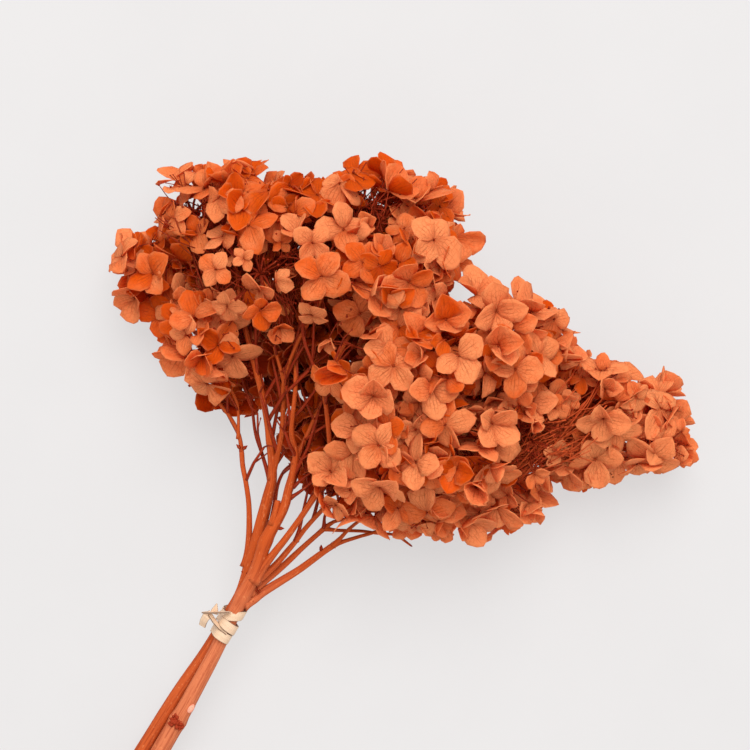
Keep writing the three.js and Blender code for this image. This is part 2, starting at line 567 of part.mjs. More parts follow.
const bunch = new THREE.Group();
bunch.add(meshOf('cane_left', canes.left, barkMaterial));
bunch.add(meshOf('cane_right', canes.right, barkMaterial));
bunch.add(meshOf('tie_band', tieBand(), bandMaterial));
for (const spray of sprays) {
  bunch.add(meshOf(`spray_${spray.name}`, sprayMesh(spray), petalMaterial));
}

// The origin is on the surface, under the middle of the bunch
const extent = new THREE.Box3().setFromObject(bunch);
bunch.position.set(-(extent.min.x + extent.max.x) / 2, -(extent.min.y + extent.max.y) / 2, 0);
const part = new THREE.Group();
part.add(bunch);

export default part;
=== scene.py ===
"""A tied bunch of dried, orange-dyed hydrangea lying on a pale surface, seen from straight above."""
import math
import random

import bmesh
import bpy
from mathutils import Matrix, Vector, noise


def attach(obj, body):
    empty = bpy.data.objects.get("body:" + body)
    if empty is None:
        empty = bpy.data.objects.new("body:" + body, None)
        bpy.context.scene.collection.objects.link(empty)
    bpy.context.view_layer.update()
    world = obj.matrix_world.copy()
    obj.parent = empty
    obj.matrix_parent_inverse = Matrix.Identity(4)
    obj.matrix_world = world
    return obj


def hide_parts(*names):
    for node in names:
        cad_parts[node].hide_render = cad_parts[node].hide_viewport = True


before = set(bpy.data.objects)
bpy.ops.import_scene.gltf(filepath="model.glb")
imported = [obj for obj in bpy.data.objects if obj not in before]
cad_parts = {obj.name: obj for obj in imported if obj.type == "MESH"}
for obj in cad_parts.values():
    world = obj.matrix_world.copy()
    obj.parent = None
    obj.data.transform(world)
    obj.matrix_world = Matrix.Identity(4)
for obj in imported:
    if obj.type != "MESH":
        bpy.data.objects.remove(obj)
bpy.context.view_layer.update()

MM = 0.001

# Canes and branches, in millimetres from the tie: x, y, z and radius, from the cut end or the fork outwards
CANE_LEFT = {
    "cane": [(-7.8, -194, 3.9, 3.9), (-6.8, -137, 12, 3.9), (-5.2, -82, 18.5, 3.8), (-4, -49, 23, 3.7),
             (-1.9, -19, 26.6, 3.4), (-1.4, 3, 29, 3.3), (-1.6, 17, 31.6, 3.3), (-5.9, 36, 36, 3.3),
             (-14, 66, 43, 3.0), (-18, 78, 46, 2.7), (-29, 94, 50, 2.2), (-40, 108, 55, 2.0),
             (-56, 125, 60, 1.7), (-75, 145, 62, 1.5)],
    "outer": [(-6.3, 29.5, 34, 2.0), (-9.9, 38.1, 35.5, 1.7), (-14.5, 47.3, 36.5, 1.6),
              (-21.1, 58.3, 37.3, 1.5), (-28, 67.2, 38, 1.5), (-33, 73, 38, 1.6), (-44, 87, 38, 1.4),
              (-62, 96, 38, 1.2), (-87, 104, 39, 1.1), (-102, 112, 38, 1.0)],
    "outer_fork": [(-42, 84, 38, 1.2), (-50, 98, 42, 1.0), (-58, 105, 47, 0.9)],
    "under": [(-17, 74, 45, 1.5), (-28, 84, 42, 1.3), (-36, 91, 39, 1.2), (-48, 106, 35, 1.1),
              (-66, 124, 31, 1.0)],
    "crown": [(-17, 75, 45, 2.2), (-23, 96, 52, 2.0), (-30, 111, 57, 1.8), (-36, 123, 61, 1.6),
              (-39, 142, 66, 1.4), (-39, 161, 67, 1.2), (-40, 182, 64, 1.0)],
    "crown_fork": [(-35, 121, 60, 1.4), (-48, 134, 65, 1.1)],
    "crown_left": [(-73, 143, 61.8, 1.2), (-85, 160, 62, 1.0)],
}
CANE_RIGHT = {
    "cane": [(3.2, -183, 4.8, 4.8), (3.2, -129, 14, 4.7), (2.9, -76, 23, 4.6), (2.8, -46, 28.5, 4.1),
             (1.9, -17, 33.3, 3.6), (0.5, 1, 36.2, 3.55), (0, 17, 40, 3.7), (-1, 33, 44, 3.4),
             (-4, 48, 48, 3.2), (-4.4, 66.2, 51, 2.7), (-7, 76, 53, 2.5), (-12, 92, 57, 2.1),
             (-20, 102, 61, 1.7), (-29, 122, 65, 1.4), (-40, 140, 58, 1.2)],
    "under_crown": [(-11, 88, 56, 1.7), (-13, 110, 56, 1.5), (-16, 133, 50, 1.3), (-23, 164, 44, 1.1)],
    "twig_low": [(-4.1, 72.2, 51.5, 1.2), (-1.4, 77.5, 51.5, 1.0), (1.2, 83.9, 51, 0.9),
                 (3.7, 91.6, 50, 0.7)],
    "twig_high": [(-5.5, 77.8, 53, 1.2), (-3.6, 83.6, 53.5, 1.0), (-0.7, 90.4, 52.5, 0.7)],
    "twig_behind": [(-4, 50, 46.5, 1.6), (-8.7, 62.5, 38.8, 1.4), (-12.9, 73.8, 39.5, 1.2),
                    (-13.6, 81.7, 41, 1.1), (-11.7, 87.4, 42, 0.8)],
    "stub": [(-5.4, 56.3, 50, 1.9), (-7.1, 63, 52, 1.8), (-8.7, 68.2, 52.5, 1.7)],
    "middle": [(0.8, 26.5, 42.5, 2.5), (1.3, 32.9, 44.5, 2.2), (2.1, 39.4, 46.5, 2.0), (3, 46, 48.5, 1.9),
               (4, 52.6, 50.5, 1.9), (5.2, 64.8, 54, 1.8), (6, 76.6, 57.5, 1.9), (7, 90.5, 63.5, 2.0),
               (3, 101, 67, 1.8), (-10, 120, 71, 1.6), (-18, 131, 73, 1.5), (-18, 145, 74, 1.4),
               (-18, 158, 72, 1.2), (-14, 180, 66, 1.1), (-11, 198, 58, 1.0)],
    "middle_left": [(-17, 129, 72.5, 1.4), (-37, 145, 77, 1.2), (-48, 164, 78, 1.0)],
    "middle_right": [(6, 88, 64, 1.8), (8, 112, 66, 1.6), (17, 141, 62, 1.5), (37, 161, 58, 1.4),
                     (61, 178, 52, 1.3), (90, 188, 44, 1.2), (110, 192, 38, 1.0)],
    "inner": [(1.2, 25.6, 41, 1.9), (3.6, 30.4, 40, 1.7), (5.4, 35.3, 40, 1.6), (6.9, 40.9, 40.5, 1.6),
              (8, 47.1, 41, 1.6), (9.3, 54.6, 42, 1.5), (10, 61, 42.5, 1.5), (11.3, 67.9, 43, 1.5),
              (12.8, 74.9, 43.5, 1.5), (12.4, 81.1, 44, 1.4), (11.1, 88.5, 44.5, 1.3), (11, 96, 45, 1.3),
              (9, 119, 43, 1.1)],
    "inner_twig": [(9.3, 54, 41.5, 1.3), (7.3, 61.8, 43.5, 1.1), (4.7, 69.9, 46, 1.0),
                   (2.5, 76.9, 48, 0.9), (0.1, 84.2, 49, 0.7)],
    "low": [(1.8, 19, 37.5, 1.9), (4.1, 24, 36, 1.7), (6.1, 28.5, 35, 1.6), (8.3, 34.1, 34, 1.6),
            (10.4, 40.2, 33.5, 1.6), (11.9, 45.2, 33.5, 1.6), (13.6, 50.9, 33.5, 1.5),
            (15.7, 57.4, 33.5, 1.5), (17.7, 63.3, 33.5, 1.5), (19, 67, 33.5, 1.5), (21.2, 71.5, 34, 1.2),
            (25.4, 75.5, 34.5, 1.1), (31.1, 81.8, 35, 1.1), (36.5, 90.8, 36, 1.1), (38, 107, 36, 1.1),
            (42, 122, 36, 1.0)],
    "low_bare": [(18.6, 65.8, 33.3, 1.2), (24.3, 68, 32, 1.0), (30.2, 70.9, 29.5, 1.0),
                 (36.7, 74, 26.5, 1.0), (43.1, 76.3, 24, 1.0), (50.2, 79.5, 22, 0.9), (53.9, 80.4, 21, 1.0),
                 (61.7, 79.4, 19, 0.7)],
    "low_bare_fork": [(52.8, 80.3, 21.5, 0.9), (56.7, 85.8, 22, 0.6)],
    "low_twig": [(18.3, 66.3, 33.8, 1.1), (15.8, 71.3, 37, 0.9), (14.2, 77.7, 40, 0.7)],
    "front": [(2, 12.6, 38, 2.5), (5.2, 16.9, 35.5, 2.3), (7.5, 21.8, 33.8, 2.1), (12.6, 31.1, 33, 2.0),
              (18.3, 41.7, 32.2, 1.9), (23.4, 53.2, 32, 1.9), (27.2, 60.9, 31.7, 1.7),
              (31.4, 65.9, 31.2, 1.3), (36.9, 71.7, 30.7, 1.2), (42, 77, 30, 1.2), (58, 96, 29, 1.2),
              (74, 122, 30, 1.1), (86, 145, 31, 1.0)],
    "front_fork": [(26.9, 60.4, 31.8, 1.5), (28.3, 66.2, 34, 1.3), (29.6, 72.2, 36, 1.2),
                   (33.4, 82.7, 39.5, 1.1), (36.3, 92.4, 43, 1.0)],
}
CUT_END = Vector(CANE_RIGHT["cane"][0][:3]) * MM


def tie_middle():
    """Where the tie's middle lies: the right cane's cut end in the solid, less its place from the tie."""
    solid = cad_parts["cane_right"].data
    lowest = min(v.co.y for v in solid.vertices)
    ring = {tuple(round(c, 6) for c in v.co) for v in solid.vertices if v.co.y < lowest + 3 * MM}
    return sum((Vector(p) for p in ring), Vector()) / len(ring) - CUT_END


ORIGIN = tie_middle()


def from_tie(place):
    """A place given in millimetres from the tie."""
    return Vector(place) * MM + ORIGIN


def any_way(draw):
    """A random way, of no fixed length."""
    return Vector((draw.uniform(-1, 1), draw.uniform(-1, 1), draw.uniform(-1, 1)))


# Meshes

# Material numbers: bark, twig and cut wood in a cane; sepal, twig, eye and hair in a spray
IS_BARK, IS_TWIG, IS_CUT, IS_EYE, IS_HAIR = 0, 1, 2, 2, 3
SCRATCH = bpy.data.meshes.new("scratch")


def new_part():
    """An empty mesh with the marks that every part has: places on its sepals and along its stems."""
    bm = bmesh.new()
    for marks in ("sepal_place", "stem_place"):
        bm.verts.layers.float_vector.new(marks)
    return bm


def pour(bm, part, material=None):
    """Adds a small finished part to a larger mesh, in one material where that is given."""
    if material is not None:
        for face in part.faces:
            face.material_index = material
    part.to_mesh(SCRATCH)
    part.free()
    bm.from_mesh(SCRATCH)


def new_object(name, data):
    """An object of the scene for a mesh, a lamp or a camera."""
    made = bpy.data.objects.new(name, data)
    bpy.context.collection.objects.link(made)
    return made


def new_piece(name, bm, materials, smooth=True):
    """A finished mesh object of the bunch, whose corners are already where they belong."""
    mesh = bpy.data.meshes.new(name)
    bmesh.ops.recalc_face_normals(bm, faces=bm.faces)
    for face in bm.faces:
        face.smooth = smooth
    bm.to_mesh(mesh)
    bm.free()
    for material in materials:
        mesh.materials.append(material)
    return new_object(name, mesh)


def smooth_route(route, step):
    """Points along a smooth line through the route, each (place, radius), about a step apart."""
    points = [Vector(p[:3]) for p in route]
    radii = [p[3] for p in route]
    ends = [2 * points[0] - points[1]] + points + [2 * points[-1] - points[-2]]
    path = []
    for i in range(len(points) - 1):
        p0, p1, p2, p3 = ends[i:i + 4]
        pieces = max(1, round((p2 - p1).length / step))
        for k in range(pieces):
            t = k / pieces
            place = 0.5 * (2 * p1 + (p2 - p0) * t + (2 * p0 - 5 * p1 + 4 * p2 - p3) * t * t
                           + (3 * p1 - 3 * p2 + p3 - p0) * t ** 3)
            path.append((place, radii[i] + (radii[i + 1] - radii[i]) * t))
    path.append((points[-1], radii[-1]))
    return path


def add_sweep(bm, rings, material=IS_BARK):
    """A closed solid through rings of corners, each (place, mark), joined ring to ring."""
    layer = bm.verts.layers.float_vector["stem_place"]
    first = bmesh.ops.create_circle(bm, cap_ends=True, segments=len(rings[0]), radius=1.0)["verts"]
    ring = list(first)
    edges = list(first[0].link_faces[0].edges)
    faces = set(first[0].link_faces)
    for i, corners in enumerate(rings):
        if i:
            grown = bmesh.ops.extrude_edge_only(bm, edges=edges)["geom"]
            fresh = {v for v in grown if isinstance(v, bmesh.types.BMVert)}
            edges = [e for e in grown if isinstance(e, bmesh.types.BMEdge) and set(e.verts) <= fresh]
            ring = [next(e.other_vert(v) for e in v.link_edges if e.other_vert(v) in fresh) for v in ring]
            faces.update(f for v in ring for f in v.link_faces)
        for vert, (place, mark) in zip(ring, corners):
            vert.co = place
            vert[layer] = mark
    faces.update(bmesh.ops.contextual_create(bm, geom=edges)["faces"])
    for face in faces:
        face.material_index = material


def add_tube(bm, path, sides, mark=0.0, material=IS_BARK, relief=None):
    """A round stem along a path of (place, radius), marked with the way round it and how far along it."""
    across = Vector((0.31, 0.17, 1.0))
    run = 0.0
    rings = []
    for i, (place, radius) in enumerate(path):
        before = path[max(i - 1, 0)][0]
        after = path[min(i + 1, len(path) - 1)][0]
        ahead = (after - before).normalized()
        across = (across - ahead * across.dot(ahead)).normalized()
        side = ahead.cross(across)
        run += (place - before).length
        ring = []
        for k in range(sides):
            angle = 2 * math.pi * k / sides
            way = across * math.cos(angle) + side * math.sin(angle)
            swell = 1.0 if relief is None else relief(angle, place)
            around = Vector((math.cos(angle), math.sin(angle), run + mark))
            ring.append((place + way * radius * swell, around))
        rings.append(ring)
    add_sweep(bm, rings, material)


def add_stalk(bm, path, sides, mark=0.0, material=IS_TWIG, relief=None):
    """A stem of its own, added to a larger mesh."""
    part = new_part()
    add_tube(part, path, sides, mark, material, relief)
    pour(bm, part)


def add_thorn(bm, at, way, size):
    """A withered bract or bud: a short pointed cone."""
    path = [(at, size * 0.3), (at + way * size * 0.45, size * 0.34), (at + way * size, size * 0.05)]
    add_stalk(bm, path, 5, mark=at.x)


# Materials

def tint(*colour):
    """A colour given as it looks on a screen, from 0 to 255, made linear."""
    values = [c / 255 for c in colour]
    return tuple(c / 12.92 if c <= 0.04045 else ((c + 0.055) / 1.055) ** 2.4 for c in values) + (1.0,)


class Nodes:
    """Adds and joins the nodes of one material or group."""

    def __init__(self, tree):
        self.tree = tree

    def join(self, value, socket):
        if isinstance(value, bpy.types.NodeSocket):
            self.tree.links.new(value, socket)
        else:
            socket.default_value = value

    def add(self, kind, settings=None, **inputs):
        node = self.tree.nodes.new(kind)
        for key, value in (settings or {}).items():
            setattr(node, key, value)
        for key, value in inputs.items():
            self.join(value, node.inputs[key.replace("_", " ")])
        return node

    def math(self, operation, *values):
        node = self.add("ShaderNodeMath", {"operation": operation})
        for socket, value in zip(node.inputs, values):
            self.join(value, socket)
        return node.outputs[0]

    def times(self, a, b):
        return self.math("MULTIPLY", a, b)

    def plus(self, a, b):
        return self.math("ADD", a, b)

    def minus(self, a, b):
        return self.math("SUBTRACT", a, b)

    def mix(self, share, *colours):
        """A share of the second of two colours in the first, each a socket or as it looks on a screen."""
        node = self.add("ShaderNodeMix", {"data_type": "RGBA"}, Factor=share)
        for socket, colour in zip((node.inputs[6], node.inputs[7]), colours):
            self.join(tint(*colour) if isinstance(colour, tuple) else colour, socket)
        return node.outputs[2]

    def stain(self, base, colour, where, share=1.0):
        """The base colour with a share of another colour where a mask is bright."""
        return self.mix(self.times(where, share), base, colour)

    def remap(self, value, low, high, to_low=0.0, to_high=1.0):
        return self.add("ShaderNodeMapRange", {"interpolation_type": "SMOOTHSTEP"}, Value=value, From_Min=low,
                        From_Max=high, To_Min=to_low, To_Max=to_high).outputs[0]

    def vector(self, x, y, z):
        return self.add("ShaderNodeCombineXYZ", X=x, Y=y, Z=z).outputs[0]

    def split(self, vector):
        return self.add("ShaderNodeSeparateXYZ", Vector=vector).outputs

    def marks(self, name):
        return self.split(self.add("ShaderNodeAttribute", {"attribute_name": name}).outputs["Vector"])

    def object_place(self):
        return self.add("ShaderNodeTexCoord").outputs["Object"]

    def noise(self, place, scale, detail=2.0, rough=0.5):
        node = self.add("ShaderNodeTexNoise", Vector=place, Scale=scale, Detail=detail, Roughness=rough)
        return node.outputs["Fac"]

    def bump(self, strength, distance, height):
        node = self.add("ShaderNodeBump", Strength=strength, Distance=distance, Height=height)
        return node.outputs["Normal"]

    def skin(self, base, roughness, **inputs):
        node = self.add("ShaderNodeBsdfPrincipled", Base_Color=base, Roughness=roughness, **inputs)
        return node.outputs[0]

    def show(self, shader):
        self.add("ShaderNodeOutputMaterial", Surface=shader)


def new_material(name):
    """An empty material, and what adds nodes to it."""
    material = bpy.data.materials.new(name)
    material.use_nodes = True
    material.node_tree.nodes.clear()
    return material, Nodes(material.node_tree)


def vein_group():
    """Veins of a sepal: darker ribs that fan out from its foot and meet at its tip, with a net between."""
    tree = bpy.data.node_groups.new("sepal_veins", "ShaderNodeTree")
    for way, names in (("INPUT", ("Across", "Along", "Sepal")), ("OUTPUT", ("Ribs", "Net"))):
        for name in names:
            tree.interface.new_socket(name, in_out=way, socket_type="NodeSocketFloat")
    nodes = Nodes(tree)
    given = nodes.add("NodeGroupInput").outputs
    across, along, sepal = given["Across"], given["Along"], given["Sepal"]
    unsteady = nodes.vector(nodes.times(across, 2.0), nodes.times(along, 3.0), nodes.times(sepal, 37.0))
    wobble = nodes.minus(nodes.noise(unsteady, 1.3), 0.5)
    bent = nodes.plus(nodes.math("ABSOLUTE", across), nodes.times(wobble, 0.22))
    ribs = 0.0
    for middle, width, end in ((0.0, 0.04, 1.05), (0.3, 0.034, 0.8), (0.6, 0.03, 0.62)):
        off = nodes.math("ABSOLUTE", nodes.minus(bent, middle))
        line = nodes.times(nodes.remap(off, width * 0.25, width, 1.0, 0.0),
                           nodes.remap(along, end * 0.35, end, 1.0, 0.0))
        ribs = nodes.math("MAXIMUM", ribs, line)
    meshes = nodes.vector(nodes.times(across, 2.3), nodes.times(along, 3.6), nodes.times(sepal, 11.0))
    cells = nodes.add("ShaderNodeTexVoronoi", {"feature": "DISTANCE_TO_EDGE"}, Vector=meshes, Scale=1.6)
    net = nodes.remap(cells.outputs["Distance"], 0.015, 0.09, 1.0, 0.0)
    nodes.add("NodeGroupOutput", Ribs=ribs, Net=net)
    return tree


def petal_material(veins):
    """Dried dyed sepals with dark veins, paler at their thin rims; their tone carries painted light and
    shade: peach outermost, deeper orange inwards.
    """
    material, nodes = new_material("petal_orange")
    across, along, tone = nodes.marks("sepal_place")
    lines = nodes.add("ShaderNodeGroup", {"node_tree": veins}, Across=across, Along=along, Sepal=tone).outputs
    place = nodes.object_place()
    patches = nodes.noise(place, 90.0, 3.0, 0.6)
    mottle = nodes.noise(place, 700.0, 3.0, 0.6)
    # Painted light and shade from the tone mark, paler in light and deeper inside and underneath the head,
    # varied by random patches
    painted_light_shade_patches = nodes.plus(nodes.math("FRACT", tone), nodes.times(nodes.minus(patches, 0.5), 0.5))
    base = nodes.mix(nodes.remap(painted_light_shade_patches, 0.0, 0.45), (162, 40, 2), (232, 98, 14))
    base = nodes.stain(base, (253, 166, 105), nodes.remap(painted_light_shade_patches, 0.4, 0.9))
    edge = nodes.remap(nodes.math("ABSOLUTE", across), 0.75, 1.0)
    base = nodes.stain(base, (255, 168, 112), edge, 0.3)
    foot = nodes.remap(along, 0.02, 0.42, 1.0, 0.0)
    base = nodes.stain(base, (188, 58, 18), foot, 0.45)
    base = nodes.stain(base, (206, 84, 34), nodes.remap(mottle, 0.45, 0.7), 0.14)
    base = nodes.stain(base, (190, 70, 28), lines["Net"], nodes.remap(along, 0.55, 0.95, 0.36, 0.1))
    base = nodes.stain(base, (142, 38, 12), lines["Ribs"], 0.46)
    creases = nodes.vector(nodes.times(across, 5.0), nodes.times(along, 2.5), nodes.times(tone, 5.0))
    height = nodes.minus(nodes.times(nodes.noise(creases, 2.2, 3.0), 0.6), nodes.times(lines["Ribs"], 0.35))
    normal = nodes.bump(0.5, 0.5 * MM, height)
    skin = nodes.skin(base, nodes.remap(mottle, 0.3, 0.7, 0.5, 0.66), Normal=normal, Specular_IOR_Level=0.06)
    glow = nodes.mix(0.5, base, (250, 122, 8))
    through = nodes.add("ShaderNodeBsdfTranslucent", Color=glow, Normal=normal).outputs[0]
    both = nodes.add("ShaderNodeMixShader")
    for socket, value in zip(both.inputs, (0.42, skin, through)):
        nodes.join(value, socket)
    nodes.show(both.outputs[0])
    return material


def stem_material(name, low, high, streak, bump_depth):
    """Dyed bark: fine fibres and splits along the stem, in one colour below the tie and one above it."""
    material, nodes = new_material(name)
    around_x, around_y, run = nodes.marks("stem_place")
    height = nodes.split(nodes.object_place())[1]

    def grain(stretch, scale, detail, rough):
        return nodes.noise(nodes.vector(around_x, around_y, nodes.times(run, stretch)), scale, detail, rough)

    fibres = grain(18.0, 8.0, 4.0, 0.6)
    splits = grain(9.0, 2.6, 3.0, 0.55)
    flakes = grain(160.0, 2.6, 3.0, 0.6)
    base = nodes.mix(nodes.remap(height, ORIGIN.y - 12 * MM, ORIGIN.y + 50 * MM), low, high)
    base = nodes.stain(base, streak, nodes.remap(splits, 0.46, 0.62), 0.42)
    base = nodes.stain(base, streak, nodes.remap(fibres, 0.34, 0.48, 1.0, 0.0), 0.4)
    base = nodes.stain(base, (232, 144, 92), nodes.remap(flakes, 0.58, 0.72), 0.4)
    normal = nodes.bump(0.6, bump_depth, nodes.plus(nodes.times(fibres, 0.6), nodes.times(splits, 0.6)))
    roughness = nodes.remap(fibres, 0.3, 0.7, 0.5, 0.75)
    nodes.show(nodes.skin(base, roughness, Normal=normal, Specular_IOR_Level=0.1))
    return material


def band_material():
    """Flat tan elastic band: smooth, faintly grained along its length, with painted shade darkening its
    edges.
    """
    material, nodes = new_material("band_tan")
    across, edge, run = nodes.marks("stem_place")
    grain = nodes.noise(nodes.vector(nodes.times(across, 6.0), edge, nodes.times(run, 60.0)), 3.0, 3.0, 0.6)
    dust = nodes.noise(nodes.object_place(), 900.0, 2.0, 0.6)
    base = nodes.mix(nodes.remap(grain, 0.3, 0.7), (212, 178, 146), (232, 200, 168))
    base = nodes.stain(base, (196, 150, 110), nodes.remap(dust, 0.5, 0.75), 0.25)
    # Painted shade: dark lines along both edges of the band
    rim = nodes.remap(nodes.math("ABSOLUTE", across), 0.86, 0.99)
    base = nodes.stain(base, (96, 62, 42), rim, 0.85)
    roughness = nodes.remap(grain, 0.3, 0.7, 0.5, 0.62)
    nodes.show(nodes.skin(base, roughness, Normal=nodes.bump(0.3, 0.2 * MM, grain)))
    return material


def grained_material(name, grain, ends, colours, roughness, **inputs):
    """A matt material with a fine grain, which passes from one colour to another between two ends."""
    material, nodes = new_material(name)
    speckle = nodes.noise(nodes.object_place(), *grain)
    base = nodes.mix(nodes.remap(speckle, *ends), *colours)
    nodes.show(nodes.skin(base, nodes.remap(speckle, 0, 1, *roughness), **inputs))
    return material


PETAL = petal_material(vein_group())
BARK_RIGHT = stem_material("bark_right", (208, 116, 76), (190, 80, 30), (136, 40, 12), 0.2 * MM)
# Painted shade: below the tie the left cane's bark is darker than the right cane's, for the shadow of the
# right cane on it
BARK_LEFT_SHADED = stem_material("bark_left_painted_shade", (190, 84, 38), (190, 80, 30), (126, 36, 10), 0.2 * MM)
TWIG = stem_material("twig_red", (160, 54, 26), (146, 44, 16), (84, 18, 8), 0.1 * MM)
HAIR = stem_material("hair_orange", (198, 84, 40), (196, 82, 38), (140, 44, 18), 0.05 * MM)
EYE = grained_material("floret_eye", (1500.0,), (0.35, 0.65), [(118, 34, 12), (176, 66, 28)], (0.5, 0.7),
                       Specular_IOR_Level=0.06)
CUT = grained_material("cut_wood", (1800.0, 3.0), (0.35, 0.65), [(232, 142, 112), (242, 174, 148)],
                       (0.6, 0.8))
PLASTER = grained_material("pale_plaster", (9.0, 6.0, 0.6), (0.3, 0.7), [(112, 111, 111), (116, 115, 115)],
                           (0.8, 0.95), Emission_Strength=0.63, Emission_Color=(0.93, 0.91, 0.905, 1.0))
BAND = band_material()


# Head

# Openings where stems show: x and y from the tie, radius, and the share that sepals there shrink to
OPENINGS = [(-42, 157, 11, 0.72), (-54, 138, 11, 0.72), (-39, 143, 14, 0.72), (-24, 146, 12, 0.72),
            (-29, 126, 17, 0.72), (-52, 122, 10, 0.72), (-9, 120, 12, 0.72), (-27, 104, 16, 0.72),
            (-8, 100, 14, 0.72), (92, 167, 13, 0.55), (84, 148, 13, 0.55), (99, 181, 9, 0.55),
            (-52, 162, 11, 0.56), (-26, 158, 11, 0.56), (-9, 151, 8, 0.6), (-65, 134, 9, 0.6),
            (-97, 158, 14, 0.74), (-112, 172, 10, 0.74), (-40, 213, 11, 0.74), (-72, 168, 13, 0.62),
            (-56, 187, 11, 0.66), (-84, 146, 10, 0.68), (-79, 103, 10, 0.72), (-142, 166, 16, 0.75),
            (0, 243, 12, 0.75)]
# Below this height florets grow behind the openings as well, in the shade
BEHIND = 34 * MM
# Outline of the head, x and y from the tie: the notches and tips of the florets round it
HEAD_OUTLINE = [(-142, 129), (-147, 146), (-131, 152), (-125, 156), (-135, 171), (-143, 172), (-137, 192),
                (-118, 191), (-115, 203), (-100, 212), (-91, 209), (-66, 223), (-66, 236), (-54, 241),
                (-45, 239), (-30, 248), (-20, 249), (1, 232), (15, 233), (13, 216), (43, 222), (49, 215),
                (56, 222), (77, 221), (83, 203), (101, 215), (112, 207), (111, 217), (130, 217), (150, 199),
                (163, 200), (166, 180), (150, 182), (136, 171), (130, 160), (109, 139), (109, 129),
                (97, 104), (70, 92), (45, 77), (26, 72), (12, 78), (-20, 95), (-41, 85), (-68, 91),
                (-91, 101), (-116, 114), (-131, 118)]
# Its height, and the place that it is seen from: what is higher looks further out
OUTLINE_HEIGHT = 50.0
VIEW_X, VIEW_Y, VIEW_HEIGHT = 2.0, 147.0, 900.0


def openings_at(place, margin=0.0):
    """The shares that sepals shrink to in the openings that a place lies over."""
    spot = (place - ORIGIN) / MM
    return [share for x, y, radius, share in OPENINGS
            if math.hypot(spot.x - x, spot.y - y) < radius + margin]


def in_outline(place):
    """Whether a place, seen from above, lies within the outline of the head."""
    spot = (place - ORIGIN) / MM
    nearer = (VIEW_HEIGHT - OUTLINE_HEIGHT) / (VIEW_HEIGHT - spot.z)
    px = VIEW_X + (spot.x - VIEW_X) * nearer
    py = VIEW_Y + (spot.y - VIEW_Y) * nearer
    inside = False
    for (ax, ay), (bx, by) in zip(HEAD_OUTLINE, HEAD_OUTLINE[1:] + HEAD_OUTLINE[:1]):
        if (ay > py) != (by > py) and px < ax + (py - ay) * (bx - ax) / (by - ay):
            inside = not inside
    return inside


# Canes

CANE_SIDES, BRANCH_SIDES = 16, 8
# Distance between the rings of a stem, how much wider a branch is at its fork, and how soon that fades
STEM_STEP = 2.2
FORK_FLARE, FLARE_RINGS = 0.5, 1.4
# Heights of the leaf nodes above the tie
LEAF_NODES = {"cane_left": {"cane": (31, 92), "outer": (78,)},
              "cane_right": {"cane": (-58, 16, 47), "front": (60,), "low": (66,), "middle": (89,)}}
# Knots where leaves or shoots have dropped: x, y and z from the tie, and size
SCARS = {"cane_left": [(-5.6, 26.6, 35.8, 1.9), (-3.6, 27.6, 37.6, 1.7), (-3.6, 35.5, 43.5, 2.6),
                       (-37.8, 79.4, 39.0, 1.4)],
         "cane_right": [(2.0, -58.0, 31.4, 5.2), (4.4, -58.6, 30.8, 4.6), (0.6, -56.6, 31.2, 3.6),
                        (5.0, 22.0, 38.6, 2.2), (4.6, 15.5, 38.6, 2.0)]}
# Small pointed bracts on the stems: x, y and z from the tie, and the way that they point
BRACTS = {"cane_left": [((-38.6, 80.2, 38.8), (-0.9, 0.3, 0.3)), ((-37.3, 80.8, 39.0), (0.4, 0.9, 0.3))],
          "cane_right": [((-1.6, 56.0, 49.0), (0.9, 0.5, 0.2)), ((22.6, 55.4, 33.0), (-0.4, 0.9, 0.3))]}
# The pruned side shoot by the big knot, and the middle and half-sizes of its pale cut face
CUT_SHOOT = [(2.8, -60, 25.0, 3.0), (3.6, -54, 27.2, 3.0), (4.8, -48.6, 28.6, 2.5), (5.2, -46.0, 28.6, 1.8)]
CUT_FACE, CUT_SIZE = (5.6, -48.0, 31.2), (1.6, 2.8, 1.4)
# How dry stems taper: height above the tie, and the share of the radius that is left there
CANE_TAPER = [(55.0, 1.0), (95.0, 0.74)]
BRANCH_TAPER = [(22.0, 1.2), (55.0, 0.9), (90.0, 0.72)]
# Branches as dark as the fine twigs, and those that end bare
DARK_BRANCHES = ("under", "twig_low", "twig_high", "twig_behind", "middle_left", "inner_twig", "low_twig")
BARE_BRANCHES = ("low_bare", "low_bare_fork", "low_twig")
# Where bare twigs fork off: heights above the tie, how far left of it, how far to either side of that
TWIG_HEIGHTS, TWIG_LEFT, TWIG_SPREAD = (66, 150), 18, 40
# The least distance between two, their length and radius, and the length of the hairs at their ends
TWIG_SPACING, TWIG_LENGTH, TWIG_RADIUS, TWIG_HAIRS = 13, (18, 42), 1.05, (8, 15)


def bark_relief(seed, nodes_at):
    """How a stem departs from round: flutes, uneven growth, and a swelling at each leaf node."""
    def relief(angle, place):
        height = (place.y - ORIGIN.y) / MM
        around = Vector((math.cos(angle) * 1.3, math.sin(angle) * 1.3, height / 22 + seed))
        swell = 1.0 + 0.04 * noise.noise(around) + 0.035 * math.cos(4 * angle + seed)
        for node in nodes_at:
            off = (height - node) / 2.6
            swell += 0.13 * math.exp(-off * off)
        return swell
    return relief


def thinned(branch, place, radius):
    """Radius of a stem once it is dry: all of them taper as they climb into the head."""
    taper = CANE_TAPER if branch == "cane" else BRANCH_TAPER
    share = taper[0][1]
    for (low, first), (high, last) in zip(taper, taper[1:]):
        if place.y > low:
            share = first + (last - first) * min(1.0, (place.y - low) / (high - low))
    return radius * share


